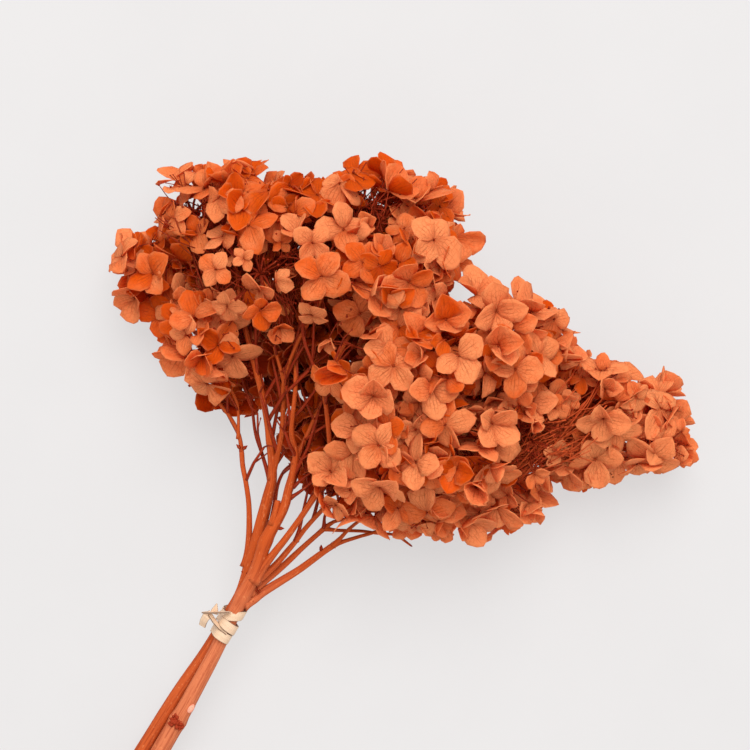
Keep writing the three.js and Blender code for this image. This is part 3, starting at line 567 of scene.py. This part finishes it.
def add_scar(bm, place, size, draw):
    """A rough knot on the bark, made of a few small lumps."""
    part = new_part()
    for _ in range(16):
        off = Vector((draw.uniform(-1, 1), draw.uniform(-1, 1), draw.uniform(-0.6, 0.0)))
        lump = place + off * size * 0.5
        made = bmesh.ops.create_icosphere(part, subdivisions=2, radius=size * draw.uniform(0.12, 0.26),
                                          matrix=Matrix.Translation(lump))["verts"]
        for vert in made:
            vert.co += (vert.co - lump) * 0.9 * noise.noise(vert.co / MM * 2.3)
    pour(bm, part, IS_TWIG)


def add_cut_shoot(bm):
    """The pruned side shoot by the big knot, with its pale cut face."""
    path = [(from_tie(place), radius * MM) for place, radius in smooth_route(CUT_SHOOT, 1.5)]
    add_stalk(bm, path, 10, material=IS_BARK)
    part = new_part()
    flat = Matrix.Diagonal((*CUT_SIZE, 1.0))
    bmesh.ops.create_icosphere(part, subdivisions=2, radius=1 * MM,
                               matrix=Matrix.Translation(from_tie(CUT_FACE)) @ flat)
    pour(bm, part, IS_CUT)


def add_side_twig(bm, place, radius, ahead, draw):
    """A bare twig with hair-like stalks that forks off a branch, if it ends in one of the openings."""
    way = (ahead * 1.3 + any_way(draw) + Vector((0, 0.3, 0.1))).normalized()
    length = draw.uniform(*TWIG_LENGTH) * MM
    bend = (way + any_way(draw) * 0.25).normalized()
    middle = place + way * length * 0.5
    end = middle + bend * length * 0.5
    if end.z < 6 * MM or not openings_at(end, 5):
        return
    size = min(radius * 0.75, TWIG_RADIUS * MM)
    add_stalk(bm, [(place, size * 1.2), (place + (middle - place) * 0.2, size), (middle, size * 0.85),
                   (end, size * 0.6)], 6, mark=place.x)
    for start in (middle, end):
        hair = (bend + any_way(draw) * 0.7).normalized()
        tip = start + hair * draw.uniform(*TWIG_HAIRS) * MM
        knee = (start + tip) / 2 + any_way(draw) * 1.2 * MM
        if min(tip.z, knee.z) > 2 * MM:
            add_stalk(bm, [(start, size * 0.55), (knee, size * 0.45), (tip, size * 0.35)], 4, mark=tip.y)
            add_thorn(bm, tip, hair, 1.3 * MM)


def add_side_twigs(bm, path, draw):
    """Bare twigs along a branch, inside the head."""
    lowest, highest = TWIG_HEIGHTS
    since = 0.0
    for (before, _), (place, radius) in zip(path, path[1:]):
        since += (place - before).length / MM
        height = (place.y - ORIGIN.y) / MM
        aside = abs(place.x - ORIGIN.x + TWIG_LEFT * MM)
        if lowest <= height <= highest and since >= TWIG_SPACING and aside <= TWIG_SPREAD * MM:
            since = draw.uniform(0.0, 3.0)
            add_side_twig(bm, place, radius, (place - before).normalized(), draw)


def cane(name, branches, bark):
    """One cane with all its branches, each starting inside the stem that it grows from."""
    bm = new_part()
    draw = random.Random(name)
    for number, (branch, route) in enumerate(branches.items()):
        path = [(from_tie(place), thinned(branch, place, radius) * MM)
                for place, radius in smooth_route(route, STEM_STEP)]
        if branch != "cane":
            path = [(place, radius * (1 + FORK_FLARE * math.exp(-i / FLARE_RINGS)))
                    for i, (place, radius) in enumerate(path)]
        add_stalk(bm, path, CANE_SIDES if branch == "cane" else BRANCH_SIDES, mark=number * 0.37,
                  material=IS_TWIG if branch in DARK_BRANCHES else IS_BARK,
                  relief=bark_relief(number * 7.3, LEAF_NODES[name].get(branch, ())))
        add_side_twigs(bm, path, draw)
        if branch in BARE_BRANCHES:
            end, before = path[-1][0], path[-2][0]
            add_thorn(bm, end, (end - before).normalized(), 1.6 * MM)
    for *place, size in SCARS[name]:
        add_scar(bm, from_tie(place), size * MM, draw)
    for place, way in BRACTS[name]:
        add_thorn(bm, from_tie(place), Vector(way).normalized(), 3.0 * MM)
    if name == "cane_right":
        add_cut_shoot(bm)
    piece = new_piece(name + "_bark", bm, [bark, TWIG, CUT])
    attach(piece, "root")
    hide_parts(name)


cane("cane_left", CANE_LEFT, BARK_LEFT_SHADED)
cane("cane_right", CANE_RIGHT, BARK_RIGHT)


# Band

# The two canes where the band holds them: x, z and radius
HELD = [(-1.7, 28.9, 3.4), (0.75, 36.0, 3.65)]
BAND_WIDTH = 5.2
BAND_THICKNESS = 0.75
# Corners of the band's section: shares of its half-width and of its thickness
BAND_SECTION = [(-1, 0.35), (-0.82, 0.5), (0.82, 0.5), (1, 0.35), (1, -0.35), (0.82, -0.5), (-0.82, -0.5),
                (-1, -0.35)]
TURN_STEPS = 30
# Its turns: place along the canes on the left and on the right, distance off the canes, and how much narrower
# they start, pulled together. Then how soon that fades, and how far the turns bulge
TURNS = [(-6.4, -6.8, 0.0, 0.1), (0.0, -1.4, 0.5, 0.5), (2.6, 7.6, 0.3, 0.45)]
PINCHED_SHARE, BULGE = 0.09, 0.35
UP, SIDE, SLANT = Vector((0, 0, 1)), Vector((0.5, -0.85, 0.0)), Vector((0.3, 0.85, 0.45))
# Its crossing, its two tails and its cut tip, each as stations of (place from the tie, facing, width)
STRIPS = [[((-13.2, -1.2, 37.2), SIDE, 3.6), ((-9.5, 1.2, 39.6), SIDE, 4.2), ((-5.0, 4.2, 41.6), SIDE, 3.6),
           ((-1.6, 6.4, 42.6), SIDE, 2.2)],
          [((-9.4, 0.4, 38.2), UP, 4.0), ((-11.0, -2.4, 38.4), UP, 4.2),
           ((-11.0, -5.2, 36.8), Vector((-0.2, -0.3, 1)), 3.9),
           ((-10.4, -8.0, 34.4), Vector((-0.2, -0.4, 1)), 3.6)],
          [((-8.4, 0.8, 37.4), UP, 4.0), ((-8.9, 3.0, 37.8), UP, 3.2), ((-9.6, 6.2, 38.2), UP, 0.5)],
          [((-10.2, -0.2, 38.2), SLANT, 3.0), ((-6.0, -2.2, 38.8), SLANT, 3.4),
           ((-2.0, -3.6, 39.8), SLANT, 2.4), ((2.4, -4.4, 40.6), SLANT, 1.0)]]


def hull_point(angle, growth):
    """Where a band drawn tight round both canes runs in a given direction, and its way out there."""
    way = Vector((math.cos(angle), 0, math.sin(angle)))
    x, z, radius = max(HELD, key=lambda one: one[0] * way.x + one[1] * way.z + one[2])
    return Vector((x, 0, z)) + way * (radius + growth), way


def add_strip(bm, stations):
    """A flat strip of band through stations, each (place from the tie, facing, width)."""
    stations = [(Vector(place), facing, width) for place, facing, width in stations]
    run = 0.0
    rings = []
    for i, (place, facing, width) in enumerate(stations):
        before = stations[max(i - 1, 0)][0]
        after = stations[min(i + 1, len(stations) - 1)][0]
        across = (after - before).cross(facing).normalized()
        out = across.cross(after - before).normalized()
        run += (place - before).length * MM
        rings.append([(from_tie(place + across * share * width / 2 + out * level * BAND_THICKNESS),
                       Vector((share, level, run))) for share, level in BAND_SECTION])
    add_sweep(bm, rings)


def band_turn(left, right, lift, pinch):
    """Stations of one turn: from the left over the front to the right and back underneath."""
    stations = []
    for k in range(TURN_STEPS + 1):
        angle = math.pi - 2 * math.pi * k / TURN_STEPS
        share = k / TURN_STEPS
        front = min(1.0, share * 2.0) if share < 0.5 else 2.0 - 2.0 * share
        place, facing = hull_point(angle, lift + BAND_THICKNESS / 2 + BULGE * math.sin(math.pi * share))
        place.y = left + (right - left) * (3 * front * front - 2 * front ** 3)
        stations.append((place, facing, BAND_WIDTH * (1 - pinch * math.exp(-share / PINCHED_SHARE))))
    return stations


def band():
    """Three turns of flat band with the crossing, two tails and the cut tip on the left."""
    bm = bmesh.new()
    bm.verts.layers.float_vector.new("stem_place")
    for turn in TURNS:
        add_strip(bm, band_turn(*turn))
    for strip in STRIPS:
        add_strip(bm, strip)
    piece = new_piece("tie_band_wraps", bm, [BAND], smooth=False)
    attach(piece, "root")
    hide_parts("tie_band")


band()


# Florets

# Corners round the top of a solid floret, of its spray's hub, and of the foot of its rachis
RIM_CORNERS, HUB_CORNERS, FOOT_CORNERS = 16, 12, 3
SEPAL_THICKNESS = 0.25 * MM
# How far below the middle of a floret its stamens can reach
EYE_REACH = 2.8 * MM
# How florets hold their sepals: share of the florets, and lift and curl of the sepals from and to, in radians
HABITS = [(0.5, -0.1, 0.35, -0.5, 0.3), (0.3, 0.4, 0.95, -0.5, 0.6), (0.2, -0.5, -0.1, -0.5, 0.2)]
# The shares that a sepal near the head's outline shortens and lengthens to at most
SHORTEST, LONGEST = 0.5, 1.3
# Florets slide toward the hub of their spray until this far inside the outline, in so many steps at most
HEAD_MIDDLE = from_tie((0, 150, 40))
RIM_ROOM, RIM_STEPS, RIM_STEP = 6 * MM, 8, 0.05
# Up to which height florets are pressed flat, and above which they lean up, and shrink over the openings
PRESSED_BELOW, LEANING_ABOVE, SHRUNK_ABOVE = 12 * MM, 30 * MM, 45 * MM


def read_spray(node):
    """The florets of a solid spray, each (centre, facing, sepal tips), with its hub and its foot.

    A floret's top centre is the one corner where sixteen edges meet. The corners round it run notch,
    shoulder, tip, shoulder, four times over."""
    bm = bmesh.new()
    bm.from_mesh(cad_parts[node].data)
    bmesh.ops.remove_doubles(bm, verts=bm.verts, dist=1e-6)
    florets = []
    used = set()
    for top in bm.verts:
        rim = [e.other_vert(top) for e in top.link_edges]
        if len(rim) != RIM_CORNERS:
            continue
        facing = sum((f.normal * f.calc_area() for f in top.link_faces), Vector()).normalized()
        across = facing.orthogonal().normalized()
        up = facing.cross(across)
        rim.sort(key=lambda v: math.atan2((v.co - top.co).dot(up), (v.co - top.co).dot(across)))
        notch = min(range(4), key=lambda k: sum((rim[(k + 4 * i) % RIM_CORNERS].co - top.co).length
                                                for i in range(4)))
        tips = [rim[(notch + 4 * i + 2) % RIM_CORNERS].co.copy() for i in range(4)]
        necks = {e.other_vert(v) for v in rim for e in v.link_edges} - set(rim) - {top}
        used |= set(rim) | {top} | necks
        florets.append((top.co.copy(), facing, tips))
    rest = [v.co.copy() for v in bm.verts if v not in used]
    bm.free()
    middle = Vector([sorted(co[axis] for co in rest)[len(rest) // 2] for axis in range(3)])
    rest.sort(key=lambda co: (co - middle).length)
    hub = sum(rest[:HUB_CORNERS], Vector()) / HUB_CORNERS
    foot = sum(rest[-FOOT_CORNERS:], Vector()) / FOOT_CORNERS
    florets.sort(key=lambda one: tuple(round(c, 5) for c in one[0]))
    return florets, hub, foot


def sepal_width(along, widest, blunt, taper):
    """Share of a sepal's half-width along it: a narrow claw, a broad middle and a small point."""
    if along < widest:
        return 0.08 + 0.92 * max(0.0, 1 - ((widest - along) / widest) ** 1.7) ** 0.8
    return 0.015 + 0.985 * max(0.0, 1 - ((along - widest) / (1 - widest)) ** blunt) ** taper


def add_sepal(bm, centre, facing, way, length, lift, curl, roll, raised, tone, draw):
    """One sepal: a broad clawed blade that leaves along the given way, lifts, curls, rolls and waves."""
    layer = bm.verts.layers.float_vector["sepal_place"]
    half = length * draw.uniform(0.4, 0.51)
    widest = draw.uniform(0.42, 0.58)
    blunt, taper = draw.uniform(1.6, 2.3), draw.uniform(0.66, 0.98)
    cup = draw.uniform(-0.25, 0.5)
    fold = draw.uniform(0.1, 0.55) if draw.random() < 0.3 else draw.uniform(-0.08, 0.12)
    wave = draw.uniform(0.15, 0.7) * MM
    phase = draw.uniform(0, 2 * math.pi)
    bend = draw.uniform(-0.14, 0.14) * length
    across_way = facing.cross(way)
    for vert in bmesh.ops.create_grid(bm, x_segments=4, y_segments=5, size=1.0)["verts"]:
        across = vert.co.x
        along = 0.5 - 0.5 * math.cos(math.pi * (vert.co.y + 1) / 2)
        side = across * half * sepal_width(along, widest, blunt, taper)
        slope = lift + curl * along / 2
        turn = roll * min(1.0, 3 * along)
        height = cup * side * side / half + fold * abs(side)
        height += wave * math.sin(phase + 5.0 * along + across) * across * across
        rise = side * math.sin(turn) + height * math.cos(turn)
        blade = across_way * (side * math.cos(turn) - height * math.sin(turn))
        blade += facing * rise * math.cos(slope)
        blade -= way * rise * math.sin(slope)
        reach = length * (0.04 + 0.96 * along)
        vert.co = (centre + way * reach * math.cos(slope) + facing * (reach * math.sin(slope) + raised)
                   + across_way * bend * along * along + blade)
        vert.co.z = max(vert.co.z, 0.2 * MM)
        vert[layer] = Vector((across, along, tone))


def add_eye(bm, centre, facing, draw):
    """The knob in the middle of a floret, with a few short stamens."""
    turn = facing.to_track_quat("Z", "Y").to_matrix().to_4x4()
    place = Matrix.Translation(centre + facing * 0.5 * MM) @ turn
    made = bmesh.ops.create_icosphere(bm, subdivisions=1, radius=draw.uniform(0.45, 0.72) * MM,
                                      matrix=place)["verts"]
    for i in range(3):
        lean = Matrix.Rotation(2 * math.pi * i / 3 + draw.uniform(-0.6, 0.6), 4, "Z")
        tilt = Matrix.Rotation(draw.uniform(0.4, 1.0), 4, "X")
        lift = Matrix.Translation((0, 0, 0.8 * MM))
        made += bmesh.ops.create_cone(bm, cap_ends=True, segments=3, radius1=0.14 * MM, radius2=0.09 * MM,
                                      depth=1.1 * MM, matrix=place @ lean @ tilt @ lift)["verts"]
    for face in {f for v in made for f in v.link_faces}:
        face.material_index = IS_EYE


def habit(draw):
    """Lift and curl of the sepals of one floret."""
    pick = draw.random()
    for share, low, high, curl_low, curl_high in HABITS:
        pick -= share
        if pick < 0:
            break
    return draw.uniform(low, high), draw.uniform(curl_low, curl_high)


def add_floret(bm, centre, facing, ways, lengths, shade, number, loss, draw):
    """One floret of four sepals, two of them seated over the other two."""
    part = new_part()
    lift, curl = habit(draw)
    for i, (way, length) in enumerate(zip(ways, lengths)):
        # The tone carries the floret's painted light and shade into the sepal's colour
        tone = number * 4 + i + min(0.99, max(0.01, shade + draw.uniform(-0.14, 0.14)))
        held = (lift + draw.uniform(-0.22, 0.22), curl + draw.uniform(-0.2, 0.2), draw.uniform(-0.4, 0.4))
        if draw.random() >= loss:
            raised = (0.45 if i % 2 else 0.1) * MM
            add_sepal(part, centre, facing, way, length, *held, raised, tone, draw)
    bmesh.ops.recalc_face_normals(part, faces=part.faces)
    bmesh.ops.solidify(part, geom=list(part.faces), thickness=SEPAL_THICKNESS)
    if centre.z + facing.z * EYE_REACH > 0:
        add_eye(part, centre, facing, draw)
    pour(bm, part)


def fitting(centre, way, length):
    """Length of a sepal whose tip, near the head's outline, reaches it and keeps within it."""
    least, most = length * SHORTEST, length * LONGEST
    if in_outline(centre + way * length) and not in_outline(centre + way * most):
        while in_outline(centre + way * length * 1.08):
            length *= 1.08
    while length > least and not in_outline(centre + way * length):
        length *= 0.88
    return length


def solid_floret(one, hub, draw):
    """How a floret of the solid spray is held once it is dry: tilted, its sepals shrunk unevenly."""
    centre, facing, tips = one
    outward = (centre - HEAD_MIDDLE).normalized() * RIM_ROOM
    for _ in range(RIM_STEPS):
        if not in_outline(centre + outward):
            centre = centre.lerp(hub, RIM_STEP)
    tilt = any_way(draw) * 0.34
    if centre.z < PRESSED_BELOW:
        tilt *= 0.3
    shrink = min(openings_at(centre) + [1.0]) if centre.z > SHRUNK_ABOVE else 1.0
    lean = 0.32 if centre.z > LEANING_ABOVE else 0.0
    held = (facing + tilt + Vector((0, 0, lean))).normalized()
    ways, lengths = [], []
    for tip in tips:
        way = tip - one[0]
        ways.append((way - held * way.dot(held)).normalized())
        lengths.append(fitting(centre, ways[-1], way.length * draw.uniform(0.84, 1.04) * shrink))
    return centre, held, ways, lengths


def loose_floret(centre, facing, size, draw):
    """A floret that grows between those of the solid spray."""
    across = facing.orthogonal().normalized()
    up = facing.cross(across)
    turn = draw.uniform(0, math.pi)
    ways, lengths = [], []
    for i in range(4):
        angle = turn + i * math.pi / 2 + draw.uniform(-0.12, 0.12)
        ways.append(across * math.cos(angle) + up * math.sin(angle))
        lengths.append(fitting(centre, ways[-1], size * draw.uniform(0.85, 1.1)))
    return centre, facing, ways, lengths


# Sprays

# Florets that fill the gaps of a spray in view, underneath, or behind the stems: how many places are tried,
# the greatest share of its radius, and how far at most from its solid florets and at least from any floret
FILLING = {"open": (110, 1.0, 20, 8.0), "low": (40, 1.0, 20, 8.0), "deep": (150, 1.25, 34, 6.5)}
DEEP_SPRAYS = ("spray_under_heart", "spray_under_throat")
FILLING_SIZE, LOWEST_FLORET = (9.0, 13.5), 11 * MM
# Single florets that close gaps in the head: x, y and z from the tie
SINGLE_FLORETS = {"spray_right_low": [(93, 137, 22), (87, 131, 27)],
                  "spray_left_front": [(-108, 119, 34), (-100, 110, 30), (-105, 127, 40)]}
SINGLE_SIZE = 12.5 * MM
# Painted light and shade: how much paler the florets of a spray are, where light falls most on them, or
# deeper, than those of the others
PAINTED_LIGHT_BY_SPRAY = {"spray_right_tip": 0.24, "spray_right_low": 0.16, "spray_right_top": 0.16, "spray_front_right": 0.1,
         "spray_lower_right": 0.1, "spray_front_middle": 0.12, "spray_front_inner": 0.08,
         "spray_lower_middle": 0.1, "spray_lower_inner": 0.08, "spray_middle_right": 0.06,
         "spray_crown_right": -0.08, "spray_crown_middle": -0.1, "spray_crown_left": -0.08,
         "spray_crown_tip": -0.06}
# Radii of the stalks at the hub, of the pedicels and of the bare hair-like stalks
FORK_RADIUS, PEDICEL_RADIUS, HAIR_RADIUS = 0.7 * MM, 0.4 * MM, 0.27 * MM
FORKS, PEDICEL_STEPS = 9, 4
# Bare stalks of a spray: how many, and how far the longest reach as a share of the spray's radius
HAIRS, MANY_HAIRS = (36, 0.6), (90, 0.72)
HAIRY_SPRAYS = ("spray_lower_right", "spray_right_low", "spray_right_top", "spray_left_front")
# Tangles of stalks whose florets have dropped: how many, their material, and where they run from, over and to
TANGLES = {"spray_right_top": (64, IS_HAIR, (80, 133, 46), (91, 158, 64), (104, 189, 54)),
           "spray_crown_left": (44, IS_TWIG, (-72, 132, 50), (-92, 152, 64), (-112, 177, 58)),
           "spray_upper_left": (40, IS_TWIG, (-48, 146, 52), (-66, 168, 66), (-78, 194, 58)),
           "spray_crown_middle": (24, IS_TWIG, (-34, 186, 66), (-38, 202, 76), (-44, 222, 66))}
# How widely they spread at their start, middle and end, and the parts of each stalk
TANGLE_SPREAD, TANGLE_STEPS = (10, 16, 18), 7


def spread_ways(count):
    """Directions spread evenly over a ball."""
    golden = math.pi * (3 - math.sqrt(5))
    for i in range(count):
        z = 1 - 2 * (i + 0.5) / count
        flat = math.sqrt(1 - z * z)
        yield Vector((flat * math.cos(golden * i), flat * math.sin(golden * i), z))


def spray_radius(hub, florets):
    """Mean distance of a spray's florets from its hub."""
    return sum((one[0] - hub).length for one in florets) / len(florets)


def add_pedicel(bm, start, end, leave, radius, draw):
    """A thin curved stalk from start to end, leaving along the given way and bowed a little."""
    reach = (end - start).length * 0.4
    bow = any_way(draw) * reach * 0.22
    one, two = start + leave * reach + bow, end - (end - start).normalized() * reach * 0.5 + bow * 0.5
    path = []
    for i in range(PEDICEL_STEPS + 1):
        t = i / PEDICEL_STEPS
        u = 1 - t
        place = u ** 3 * start + 3 * u * u * t * one + 3 * u * t * t * two + t ** 3 * end
        place.z = max(place.z, 0.5 * MM)
        path.append((place, radius * (1 - 0.25 * t)))
    add_stalk(bm, path, 4, mark=start.x)


def grow_between(hub, florets, taken, filling, draw):
    """Smaller florets that fill the gaps of a spray, within its dome and clear of the head's openings."""
    tries, outermost, farthest, nearest = FILLING[filling]
    in_view = filling == "open"
    radius = spray_radius(hub, florets)
    added = []
    for way in spread_ways(tries):
        way = (way + any_way(draw) * 0.25).normalized()
        centre = hub + way * radius * draw.uniform(0.66, outermost)
        size = draw.uniform(*FILLING_SIZE) * MM
        facing = (way * 0.5 + any_way(draw) * 0.7 + Vector((0, 0, 0.3 if in_view else 0.0))).normalized()
        off = min((one[0] - centre).length for one in florets)
        if centre.z < LOWEST_FLORET or off > farthest * MM or not in_outline(centre):
            continue
        if in_view and centre.z > BEHIND and openings_at(centre, 2):
            continue
        if any((centre - other).length < nearest * MM for other in taken):
            continue
        added.append(loose_floret(centre, facing, size, draw))
        taken.append(centre)
    return added


def single_florets(node, draw):
    """The florets that are placed one by one."""
    placed = []
    for place in SINGLE_FLORETS.get(node, ()):
        facing = (Vector((0, 0, 1)) + any_way(draw) * 0.4).normalized()
        placed.append(loose_floret(from_tie(place), facing, SINGLE_SIZE, draw))
    return placed


def shade_of(node, centre, inner, low, draw):
    """How pale a floret is, with painted light and shade: paler or deeper by spray, deeper inside its spray,
    and deepest underneath and behind the openings, where shade falls.
    """
    shade = draw.uniform(0.34, 0.8) if inner else draw.uniform(0.55, 0.98)
    shade += PAINTED_LIGHT_BY_SPRAY.get(node, 0.0)
    # Painted shade: florets underneath the head and behind the openings are darkened as if in its shadow
    if low or (centre.z < BEHIND and openings_at(centre)):
        shade *= 0.28
    return shade


def add_forks(bm, hub, axis, draw):
    """The stalks that branch from the hub, as the end and the way of each."""
    forks = []
    for way in spread_ways(FORKS):
        way = (way + axis * 0.35).normalized()
        end = hub + way * draw.uniform(8, 13) * MM
        forks.append((end, way))
        add_pedicel(bm, hub, end, (way + axis).normalized(), FORK_RADIUS, draw)
    return forks


def add_hairs(bm, forks, radius, count, longest, draw):
    """Bare hair-like stalks between the florets, each with a withered bud at its end."""
    for i in range(count):
        end, way = forks[i % len(forks)]
        tip = end + (way + any_way(draw) * 0.6).normalized() * radius * draw.uniform(0.4, longest)
        if tip.z >= 2 * MM and in_outline(tip):
            add_pedicel(bm, end, tip, way, HAIR_RADIUS, draw)
            bud = new_part()
            bmesh.ops.create_icosphere(bud, subdivisions=1, radius=draw.uniform(0.4, 0.75) * MM,
                                       matrix=Matrix.Translation(tip))
            pour(bm, bud, IS_TWIG)


def add_tangle(bm, draw, count, material, *route):
    """Bare stalks that cross one another, each with a few hairs that fork off it."""
    for _ in range(count):
        start, over, end = (from_tie(place) + any_way(draw) * spread * MM
                            for place, spread in zip(route, TANGLE_SPREAD))
        path = []
        for i in range(TANGLE_STEPS + 1):
            t = i / TANGLE_STEPS
            place = start * (1 - t) ** 2 + over * 2 * t * (1 - t) + end * t * t
            path.append((place + any_way(draw) * 1.1 * MM, draw.uniform(0.28, 0.38) * MM))
        add_stalk(bm, path, 4, mark=start.x, material=material)
        for fork, _ in path[3:6]:
            hair = fork + ((end - start).normalized() + any_way(draw)) * draw.uniform(6, 13) * MM
            bend = (fork + hair) / 2 + any_way(draw) * 1.6 * MM
            add_stalk(bm, [(fork, 0.3 * MM), (bend, 0.27 * MM), (hair, 0.24 * MM)], 4, mark=end.x,
                      material=material)


def spray(node, read, taken):
    """One spray: its florets on fine stalks that branch from the hub, with bare stalks between."""
    solid, hub, foot = read
    draw = random.Random(node)
    bm = new_part()
    low = node.startswith("spray_under")
    filling = "deep" if node in DEEP_SPRAYS else "low" if low else "open"
    between = grow_between(hub, solid, taken, filling, draw) + single_florets(node, draw)
    outer = [solid_floret(one, hub, draw) for one in solid]
    for number, floret in enumerate(outer + between):
        inner = low or number >= len(outer)
        shade = shade_of(node, floret[0], inner, low, draw)
        add_floret(bm, *floret, shade, number, 0.08 if inner else 0.03, draw)
    add_tube(bm, [(foot, 1.2 * MM), (hub, 1.0 * MM)], 6, material=IS_TWIG)
    forks = add_forks(bm, hub, (hub - foot).normalized(), draw)
    for centre, facing, ways, lengths in outer + between:
        end, way = min(forks, key=lambda fork: (fork[0] - centre).length)
        add_pedicel(bm, end, centre - facing * 0.3 * MM, way, PEDICEL_RADIUS, draw)
    add_hairs(bm, forks, spray_radius(hub, solid), *(MANY_HAIRS if node in HAIRY_SPRAYS else HAIRS), draw)
    if node in TANGLES:
        add_tangle(bm, draw, *TANGLES[node])
    piece = new_piece(node + "_florets", bm, [PETAL, TWIG, EYE, HAIR])
    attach(piece, "root")
    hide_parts(node)


SPRAYS = sorted(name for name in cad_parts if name.startswith("spray_"))
READ = {name: read_spray(name) for name in SPRAYS}
TAKEN = [floret[0] for florets, hub, foot in READ.values() for floret in florets]
for name in SPRAYS:
    spray(name, READ[name], TAKEN)
bpy.data.meshes.remove(SCRATCH)


# Surface, light and camera

FLOOR_HALF = 3.0
# The lamp's place from the middle of the head, in metres, its width, and its power
LAMP_PLACE, LAMP_WIDTH, LAMP_POWER = Vector((-0.5, 1.5, 2.9)), 2.6, 102.0
STUDIO_WHITE = (1.0, 0.995, 0.99)
CAMERA_PLACE, CAMERA_HEIGHT, CAMERA_ROLL = (1.9, 146.6, 0), 0.9, math.radians(30)
# How wide the picture is at this distance from the camera
PICTURE_WIDTH, PICTURE_DISTANCE = 0.375, 0.85


def floor():
    """The pale plaster surface that the bunch lies on."""
    bm = bmesh.new()
    bmesh.ops.create_grid(bm, x_segments=1, y_segments=1, size=FLOOR_HALF)
    piece = new_piece("surface", bm, [PLASTER], smooth=False)


def studio():
    """Even light from all round, and one broad soft light from beyond the head."""
    world = bpy.data.worlds.new("studio")
    world.use_nodes = True
    background = world.node_tree.nodes["Background"]
    background.inputs["Color"].default_value = (*STUDIO_WHITE, 1.0)
    background.inputs["Strength"].default_value = 0.78
    bpy.context.scene.world = world
    lamp = bpy.data.lights.new("window", "AREA")
    lamp.shape = "DISK"
    lamp.size = LAMP_WIDTH
    lamp.energy = LAMP_POWER
    lamp.color = STUDIO_WHITE
    light = new_object("window", lamp)
    light.location = from_tie((0, 130, 30)) + LAMP_PLACE
    light.rotation_euler = (-LAMP_PLACE).to_track_quat("-Z", "Y").to_euler()
    bpy.context.scene.view_settings.view_transform = "Standard"


def camera():
    """Straight above the bunch, turned so that the canes run to the lower left."""
    data = bpy.data.cameras.new("camera")
    data.angle = 2 * math.atan(PICTURE_WIDTH / 2 / PICTURE_DISTANCE)
    view = new_object("camera", data)
    view.location = (*from_tie(CAMERA_PLACE).xy, CAMERA_HEIGHT)
    view.rotation_euler = (0, 0, CAMERA_ROLL)
    bpy.context.scene.camera = view


floor()
studio()
camera()
